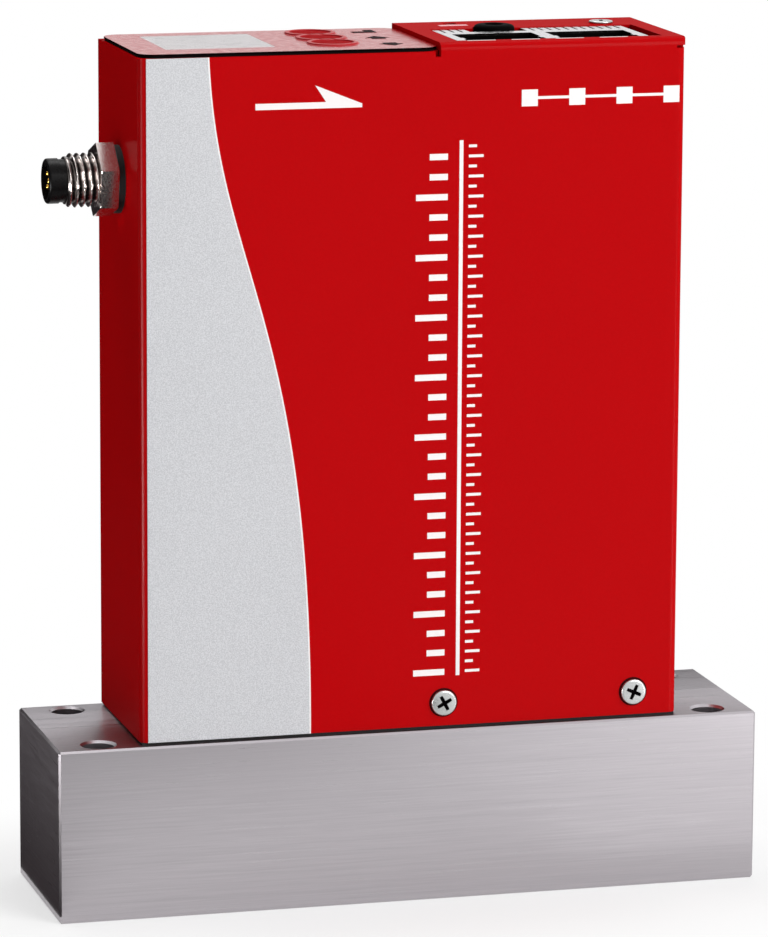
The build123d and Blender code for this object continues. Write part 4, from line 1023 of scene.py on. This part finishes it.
@dataclass
class Casing:
    """Folded casing, rear cover, screws and the print on the front.

    The label's curved edge is a cubic: label_start and label_pull are its first two points, in from the
    label's right side and down from its top, and label_rise is the third's height over its foot.
    crown_share and tuck_share are a screw head's top and its narrowed foot, as shares of its radius.
    side_shares are the heights of the side's bends from the crown down, and recess_share is the most of
    the height that the cross may take. recess_slope is its depth in the middle and at the arms' ends.
    """

    edge_line: float = 0.22
    label_start: tuple[float, float] = (14.99, 0.0)
    label_pull: tuple[float, float] = (13.7, 30.87)
    label_rise: float = 61.55
    screw_x: tuple[float, float] = (4.8, 33.7)
    screw_z: float = 29.25
    screw_turns_deg: tuple[float, float] = (28.0, 66.0)
    top_screw: tuple[float, float] = (33.9, 6.9)
    top_turn_deg: float = 75.0
    head_d: float = 3.8
    low_head_d: float = 3.5
    crown_share: float = 0.82
    tuck_share: float = 0.91
    side_shares: tuple[float, ...] = (0.9, 0.88, 0.45, 0.4, 0.1, 0.02)
    recess_share: float = 0.6
    recess_slope: tuple[float, float] = (1.25, 0.7)
    crown_lines: int = 17
    dome: float = 0.1
    # Inner and outer diameter, and edge, of the ring of painted shadow round a head.
    shadow_ring_d: tuple[float, float] = (3.7, 4.3)
    shadow_ring_edge: float = 0.05
    cross_width: float = 0.52
    cross_span: float = 2.3
    cross_depth: float = 0.5
    cross_wall: float = 0.015
    shank_d: float = 1.9
    shank_length: float = 2.0
    # Inset, width and gap of the black strip of painted shade in the slit under the walls.
    slit_shade_inset: float = 0.3
    slit_shade_width: float = 0.6
    slit_shade_gap: float = 0.01
    arrow: tuple[tuple[float, float], ...] = (
        (-23.4, 116.65), (-7.8, 116.65), (-7.8, 117.2), (-14.7, 119.95), (-13.1, 117.55), (-23.4, 117.55),
    )
    rule_x: float = 6.9
    rule_width: float = 0.56
    rule_low: float = 33.2
    rule_high: float = 111.5
    mark_start: float = 0.6
    mark_pitch: float = 2.9
    mark_stroke: float = 0.9
    mark_ends: tuple[float, float, float] = (0.2, 2.2, 4.9)
    tick_stroke: float = 0.4
    tick_ends: tuple[float, float, float] = (8.0, 9.2, 10.2)
    sign_line: tuple[float, float, float, float] = (17.0, 38.0, 117.1, 117.5)
    sign_x: tuple[float, ...] = (15.8, 22.9, 30.0, 37.1)
    sign_z: float = 116.1
    sign_square: float = 2.4
    sign_ink: float = 1.4 * INK

    def build(self) -> None:
        """Dresses the sheets and prints the front."""
        dress(POWDER_COAT, "front_casing", "rear_cover")
        dress(SILVER_FILM, "front_label")
        self.label_edge()
        self.front_print()
        self.screws()
        self.foot_slit_shade()

    def label_edge(self) -> None:
        """White line along the printed area's curved edge.

        The edge is the cubic B(t) from the top to the foot; the line is B(t) and B(t) + width * n(t),
        where n is the tangent turned by a quarter, carried outwards by the film's thickness.
        """
        low, high = corners("front_label")
        right, foot, top = high[0], low[2], high[2]
        points = np.array([
            (right - self.label_start[0], top - self.label_start[1]),
            (right - self.label_pull[0], top - self.label_pull[1]),
            (right, foot + self.label_rise),
            (right, foot),
        ])
        t = np.linspace(0, 1, 80)[:, None]
        weights = np.concatenate([(1 - t) ** 3, 3 * (1 - t) ** 2 * t, 3 * (1 - t) * t**2, t**3], axis=1)
        curve = weights @ points
        outer = curve + across(curve) * self.edge_line
        outer[:, 1] = np.clip(outer[:, 1], foot, top)
        face, front = self.front_y(), low[1]
        loop = [(curve, face), (curve, front), (outer, front), (outer, face)]
        strips = [np.column_stack([path[:, 0], np.full(len(path), y), path[:, 1]]) for path, y in loop]
        shell = Shell("label_edge_line")
        shell.add_tube(np.stack(strips, axis=1))
        place_piece(shell.make(), WHITE_INK)

    def screws(self) -> None:
        """Puts a headed cross screw at each of the casing's five places, and a ring of painted shadow round
        each of the four on the walls.
        """
        low, high = corners("casing_screws")
        sheet_low, sheet_high = corners("front_casing")
        back = corners("rear_cover")[1][1]
        front, top = sheet_low[1], sheet_high[2]
        shell = Shell("casing_screws_headed", HEAD_STEEL.mask)
        # Dark rings of painted shadow round the wall screws' heads.
        shadow_rings = Shell("screw_shadow_rings")
        for x, turn in zip(self.screw_x, self.screw_turns_deg):
            for y, out, head in ((front, FORWARD, front - low[1]), (back, BACKWARD, high[1] - back)):
                foot = np.array([x, y, self.screw_z])
                self.screw(shell, foot, out, head, self.head_d, turn)
                self.shadow_ring(shadow_rings, foot, out)
        seat = np.array([*self.top_screw, top])
        self.screw(shell, seat, UP, high[2] - top, self.low_head_d, self.top_turn_deg)
        place_piece(shell.make(smooth_deg=40), HEAD_STEEL, stands_for=("casing_screws",))
        place_piece(shadow_rings.make(), SCREW_SHADOW_PAINT)

    def shadow_ring(self, shell: Shell, foot: np.ndarray, out: np.ndarray) -> None:
        """Adds a flat dark ring round a head, as painted shadow: the turned profile of a thin washer."""
        inner, outer = self.shadow_ring_d[0] / 2, self.shadow_ring_d[1] / 2
        profile = np.array([(0.0, inner), (INK, inner), (INK, outer - self.shadow_ring_edge), (0.0, outer)])
        shell.add_grid(turned(profile, foot, out, 48), wrap_u=True, wrap_v=True)

    def screw(
        self, shell: Shell, foot: np.ndarray, out: np.ndarray, height: float, head_d: float, turn_deg: float
    ) -> None:
        """Adds one pan head with a cross recess and a short shank.

        The crown is a square (u, v) bent to a disc by (u (1 - v^2 / 2)^0.5, v (1 - u^2 / 2)^0.5), with
        height h (1 - dome r^2). Where |u| or |v| is under half an arm and the other under the arms' reach,
        it drops by the recess, deepest in the middle. The side rolls over and tucks in at the foot.

        Args:
            shell: Gathers the faces.
            foot: Middle of the head's bearing face.
            out: Unit vector out of the sheet.
            height: Height of the head.
            head_d: Diameter of the head.
            turn_deg: Turn of the cross round the axis.
        """
        rim = head_d / 2
        crown, tuck, shank = self.crown_share * rim, self.tuck_share * rim, self.shank_d / 2
        arm, reach, wall = self.cross_width / 2 / crown, self.cross_span / 2 / crown, self.cross_wall
        edges = np.array([arm - wall, arm + wall, reach - wall, reach + wall])
        lines = np.unique(np.concatenate([np.linspace(-1, 1, self.crown_lines), edges, -edges]))
        u, v = np.meshgrid(lines, lines, indexing="ij")
        off_arm, along = np.minimum(abs(u), abs(v)), np.maximum(abs(u), abs(v))
        recess = (off_arm < arm) & (along < reach)
        x, y = u * np.sqrt(1 - v**2 / 2), v * np.sqrt(1 - u**2 / 2)
        middle, end = self.recess_slope
        drop = min(self.cross_depth, self.recess_share * height) * (middle - (middle - end) * along / reach)
        z = height * (1 - self.dome * (x**2 + y**2)) - recess * drop
        side_way = np.cross(out, RIGHT)
        cos, sin = math.cos(math.radians(turn_deg)), math.sin(math.radians(turn_deg))
        first, second = cos * RIGHT + sin * side_way, cos * side_way - sin * RIGHT
        disc = foot + crown * (x[..., None] * first + y[..., None] * second) + z[..., None] * out
        # The recess mask paints the cross dark, as the shade in it.
        shell.add_grid(disc, mask=recess)
        # The square's border, once round, carries the side.
        plan = np.stack([x, y], axis=-1)
        ring = np.concatenate([plan[:-1, 0], plan[-1, :-1], plan[:0:-1, -1], plan[0, :0:-1]])
        bends = [share * height for share in self.side_shares]
        side = np.concatenate([
            rounded((crown, bends[0]), (rim, bends[1]), (rim, bends[2])),
            rounded((rim, bends[3]), (rim, bends[4]), (tuck, bends[5])),
            [(tuck, 0.0), (shank, 0.0), (shank, -self.shank_length), (0.0, -self.shank_length)],
        ])
        spoke = ring[:, :1] * first + ring[:, 1:] * second
        shell.add_grid(foot + side[:, :1, None] * spoke[None] + side[:, 1:, None] * out, wrap_v=True)

    def foot_slit_shade(self) -> None:
        """Black strip in the slit under the walls, as painted shade there: a square section carried round the
        foot.
        """
        low, high = corners("front_casing")
        back = corners("rear_cover")[1][1]
        z0, z1 = corners("base_block")[1][2] + self.slit_shade_gap, low[2] - self.slit_shade_gap
        near, far = self.slit_shade_inset, self.slit_shade_inset + self.slit_shade_width
        loops = [
            level_bar(low[0] + inset, high[0] - inset, low[1] + inset, back - inset, z)
            for inset, z in ((near, z0), (near, z1), (far, z1), (far, z0))
        ]
        shell = Shell("foot_slit_shade")
        shell.add_grid(np.stack(loops), wrap_u=True, wrap_v=True)
        place_piece(shell.make(), BLACK_RUBBER)

    def front_y(self) -> float:
        """Y of the casing's front face."""
        return float(corners("front_casing")[0][1])

    def print_bar(self, shell: Shell, x0: float, x1: float, z0: float, z1: float, ink: float = INK) -> None:
        """Adds an upright rectangle of ink on the casing's front face."""
        y = self.front_y()
        shell.add_plate(np.array([(x0, y, z0), (x1, y, z0), (x1, y, z1), (x0, y, z1)]), FORWARD, ink)

    def front_print(self) -> None:
        """Flow arrow, graduated rule and network sign, all plain white plates."""
        shell = Shell("front_print")
        arrow = np.array(self.arrow)
        flat = np.column_stack([arrow[:, 0], np.full(len(arrow), self.front_y()), arrow[:, 1]])
        shell.add_plate(flat, FORWARD)
        half = self.rule_width / 2
        self.print_bar(shell, self.rule_x - half, self.rule_x + half, self.rule_low, self.rule_high)
        start = self.rule_low + self.mark_start
        half = self.mark_stroke / 2
        for index, z in enumerate(np.arange(start, self.rule_high, self.mark_pitch)):
            left = self.mark_ends[0] if index % 3 == 0 else self.mark_ends[1]
            self.print_bar(shell, left, self.mark_ends[2], z - half, z + half)
        half = self.tick_stroke / 2
        for index, z in enumerate(np.arange(start, self.rule_high, self.mark_pitch / 2)):
            right = self.tick_ends[2] if index % 2 == 0 else self.tick_ends[1]
            self.print_bar(shell, self.tick_ends[0], right, z - half, z + half)
        self.print_bar(shell, *self.sign_line)
        for x in self.sign_x:
            square = (x, x + self.sign_square, self.sign_z, self.sign_z + self.sign_square)
            self.print_bar(shell, *square, self.sign_ink)
        place_piece(shell.make(), WHITE_INK)


# ---- studio --------------------------------------------------------------------------------------
@dataclass(frozen=True)
class Lamp:
    """Rectangular area lamp at a place, aimed at a target."""

    name: str
    place: Point
    target: Point
    size: tuple[float, float]
    watts: float

    def build(self) -> None:
        """Adds the lamp."""
        data = bpy.data.lights.new(self.name, "AREA")
        data.shape = "RECTANGLE"
        data.size, data.size_y = self.size
        data.energy = self.watts
        lamp = add_object(self.name, data)
        lamp.location = self.place
        aim = Vector(self.target) - Vector(self.place)
        lamp.rotation_euler = aim.to_track_quat("-Z", "Y").to_euler()


@dataclass(frozen=True)
class Card:
    """Card that only mirrors see: a dark side or a soft glint for polished and glossy faces.

    It spans start to end and the width vector. tone is the sRGB colour that a mirror sees, times strength.
    """

    name: str
    start: Point
    end: Point
    width: Point
    tone: str
    strength: float = 1.0

    def build(self) -> None:
        """Adds the card, hidden from every ray but a mirror's."""
        near = np.array([self.start, self.end])
        card = add_face(self.name, np.concatenate([near, near[::-1] + np.array(self.width)]))
        felt = bpy.data.materials.new(f"{self.name}_felt")
        tree = cleared(felt)
        shine = {"Color": linear(self.tone), "Strength": self.strength}
        cloth = add_node(tree, "ShaderNodeEmission", None, shine)
        add_node(tree, "ShaderNodeOutputMaterial", None, {"Surface": cloth.outputs[0]})
        card.data.materials.append(felt)
        card.visible_camera = card.visible_diffuse = card.visible_shadow = False
        card.visible_transmission = card.visible_volume_scatter = False


LAMPS = (
    Lamp("key_softbox", (0.55, -0.75, 0.55), (0.0, 0.0, 0.07), (0.7, 0.7), 10.0),
    Lamp("top_softbox", (-0.05, 0.3, 0.9), (0.0, 0.0, 0.1), (0.7, 0.5), 4.0),
)
CARDS = (
    # Dark sides for the left wall, the block's end, the casing's front and the level faces.
    Card("flag_left_floor", (-0.46, -0.09, 0.001), (-0.0527, -0.09, 0.001), (0.0, 1.1, 0.0), "3a3436"),
    Card("flag_left_wall", (-0.9, 1.0, 0.0), (-0.06, 1.0, 0.0), (0.0, 0.0, 0.5), "2a2626"),
    Card("flag_front_floor", (-0.26, -0.23, 0.001), (0.03, -0.23, 0.001), (0.0, 0.12, 0.0), "0a0a0a"),
    Card("flag_back", (-0.15, 0.30, 0.0), (0.70, 0.30, 0.0), (0.0, 0.0, 0.135), "262224"),
    Card("flag_left_side", (-0.80, -0.35, 0.02), (-0.80, 1.00, 0.02), (0.0, 0.0, 0.8), "1c1818"),
    # Bright ones. The glints lie on the floor, so that upright bends mirror them and level faces don't.
    Card("glow_block_right", (0.03, -0.20, 0.001), (0.40, -0.20, 0.001), (0.0, 0.17, 0.0), "ffffff", 1.25),
    Card("glint_left", (-0.21, -0.055, 0.002), (-0.75, -0.20, 0.002), (0.0, -0.13, 0.0), "ffffff", 50.0),
    Card("glint_right", (0.10, -0.10, 0.002), (0.45, -0.58, 0.002), (0.08, 0.0, 0.0), "ffffff", 9.0),
    Card("glow_overhead", (-0.30, -0.35, 0.95), (0.40, -0.35, 0.95), (0.0, 0.6, 0.0), "ffffff", 1.2),
)


@dataclass
class Studio:
    """Camera, pale floor, soft lamps, a white surround, and cards for the polished faces.

    The floor keeps the object's shadow up to glow_from of its squashed distance and is white past
    glow_to, in metres.
    """

    camera_mm: Point = (-206.76, -751.70, 212.50)
    camera_turn_deg: Point = (79.046, -0.282, -15.276)
    lens: float = 208.37
    sensor: float = 36.0
    clip: tuple[float, float] = (0.05, 20.0)
    ambient: float = 0.25
    floor_radius: float = 6.0
    floor_sides: int = 64
    floor_squash: Point = (0.45, 1.0, 0.0)
    glow_from: float = 0.012
    glow_to: float = 0.06
    glow_share: float = 0.5

    def build(self) -> None:
        """Sets the view transform and builds everything round the object."""
        bpy.context.scene.view_settings.view_transform = "Standard"
        self.camera()
        self.surround()
        self.floor()
        for piece in (*LAMPS, *CARDS):
            piece.build()

    def camera(self) -> None:
        """Long lens from the front left, a little above."""
        data = bpy.data.cameras.new("camera")
        data.lens = self.lens
        data.sensor_width = self.sensor
        data.clip_start, data.clip_end = self.clip
        camera = add_object("camera", data)
        camera.location = [c * MM for c in self.camera_mm]
        camera.rotation_euler = [math.radians(a) for a in self.camera_turn_deg]
        bpy.context.scene.camera = camera

    def seen(self, tree: Tree) -> Socket:
        """1 for a ray from the camera, from a mirror or through glass, 0 for light on the object."""
        path = add_node(tree, "ShaderNodeLightPath").outputs
        pair = {0: path["Is Camera Ray"], 1: path["Is Transmission Ray"]}
        direct = add_node(tree, "ShaderNodeMath", {"operation": "MAXIMUM"}, pair).outputs[0]
        pair = {0: direct, 1: path["Is Glossy Ray"]}
        return add_node(tree, "ShaderNodeMath", {"operation": "MAXIMUM"}, pair).outputs[0]

    def surround(self) -> None:
        """World: white to the camera, to mirrors and through glass, dimmer as light on the object."""
        world = bpy.data.worlds.new("studio")
        bpy.context.scene.world = world
        tree = cleared(world)
        span = {"Value": self.seen(tree), "To Min": self.ambient, "To Max": 1.0}
        strength = add_node(tree, "ShaderNodeMapRange", None, span).outputs[0]
        white = {"Color": linear("ffffff"), "Strength": strength}
        light = add_node(tree, "ShaderNodeBackground", None, white)
        add_node(tree, "ShaderNodeOutputWorld", None, {"Surface": light.outputs[0]})

    def floor(self) -> None:
        """Round pale floor: it keeps the shadow near the object and goes to white further out."""
        sides = self.floor_sides
        angle = np.linspace(0, 2 * math.pi, sides, endpoint=False)
        rim = np.column_stack([np.cos(angle), np.sin(angle), np.zeros(sides)]) * self.floor_radius
        floor = add_face("floor", rim)
        material = bpy.data.materials.new("pale_floor")
        tree = cleared(material)
        paint = add_node(tree, "ShaderNodeBsdfDiffuse", None, {"Color": linear("f2f2f2")})
        glow = add_node(tree, "ShaderNodeEmission", None, {"Color": linear("ffffff"), "Strength": 1.0})
        factors = {0: add_node(tree, "ShaderNodeTexCoord").outputs["Object"], 1: self.floor_squash}
        squashed = add_node(tree, "ShaderNodeVectorMath", {"operation": "MULTIPLY"}, factors)
        away = add_node(tree, "ShaderNodeVectorMath", {"operation": "LENGTH"}, {0: squashed.outputs[0]})
        span = {
            "Value": away.outputs["Value"], "From Min": self.glow_from, "From Max": self.glow_to,
            "To Min": self.glow_share, "To Max": 1.0,
        }
        reach = add_node(tree, "ShaderNodeMapRange", {"interpolation_type": "SMOOTHSTEP"}, span)
        both = {0: self.seen(tree), 1: reach.outputs[0]}
        share = add_node(tree, "ShaderNodeMath", {"operation": "MULTIPLY"}, both)
        layers = {0: share.outputs[0], 1: paint.outputs[0], 2: glow.outputs[0]}
        mixed = add_node(tree, "ShaderNodeMixShader", None, layers)
        add_node(tree, "ShaderNodeOutputMaterial", None, {"Surface": mixed.outputs[0]})
        floor.data.materials.append(material)


def main() -> None:
    """Builds the sub-assemblies and the studio in order."""
    logging.basicConfig(level=logging.INFO)
    parts = (
        FlowBlock(), Electronics(), PowerConnector(), ConnectorTop(), DisplayPanel(), Casing(), Studio(),
    )
    for part in parts:
        LOG.info("%s", type(part).__name__)
        part.build()


if __name__ == "__main__":
    main()
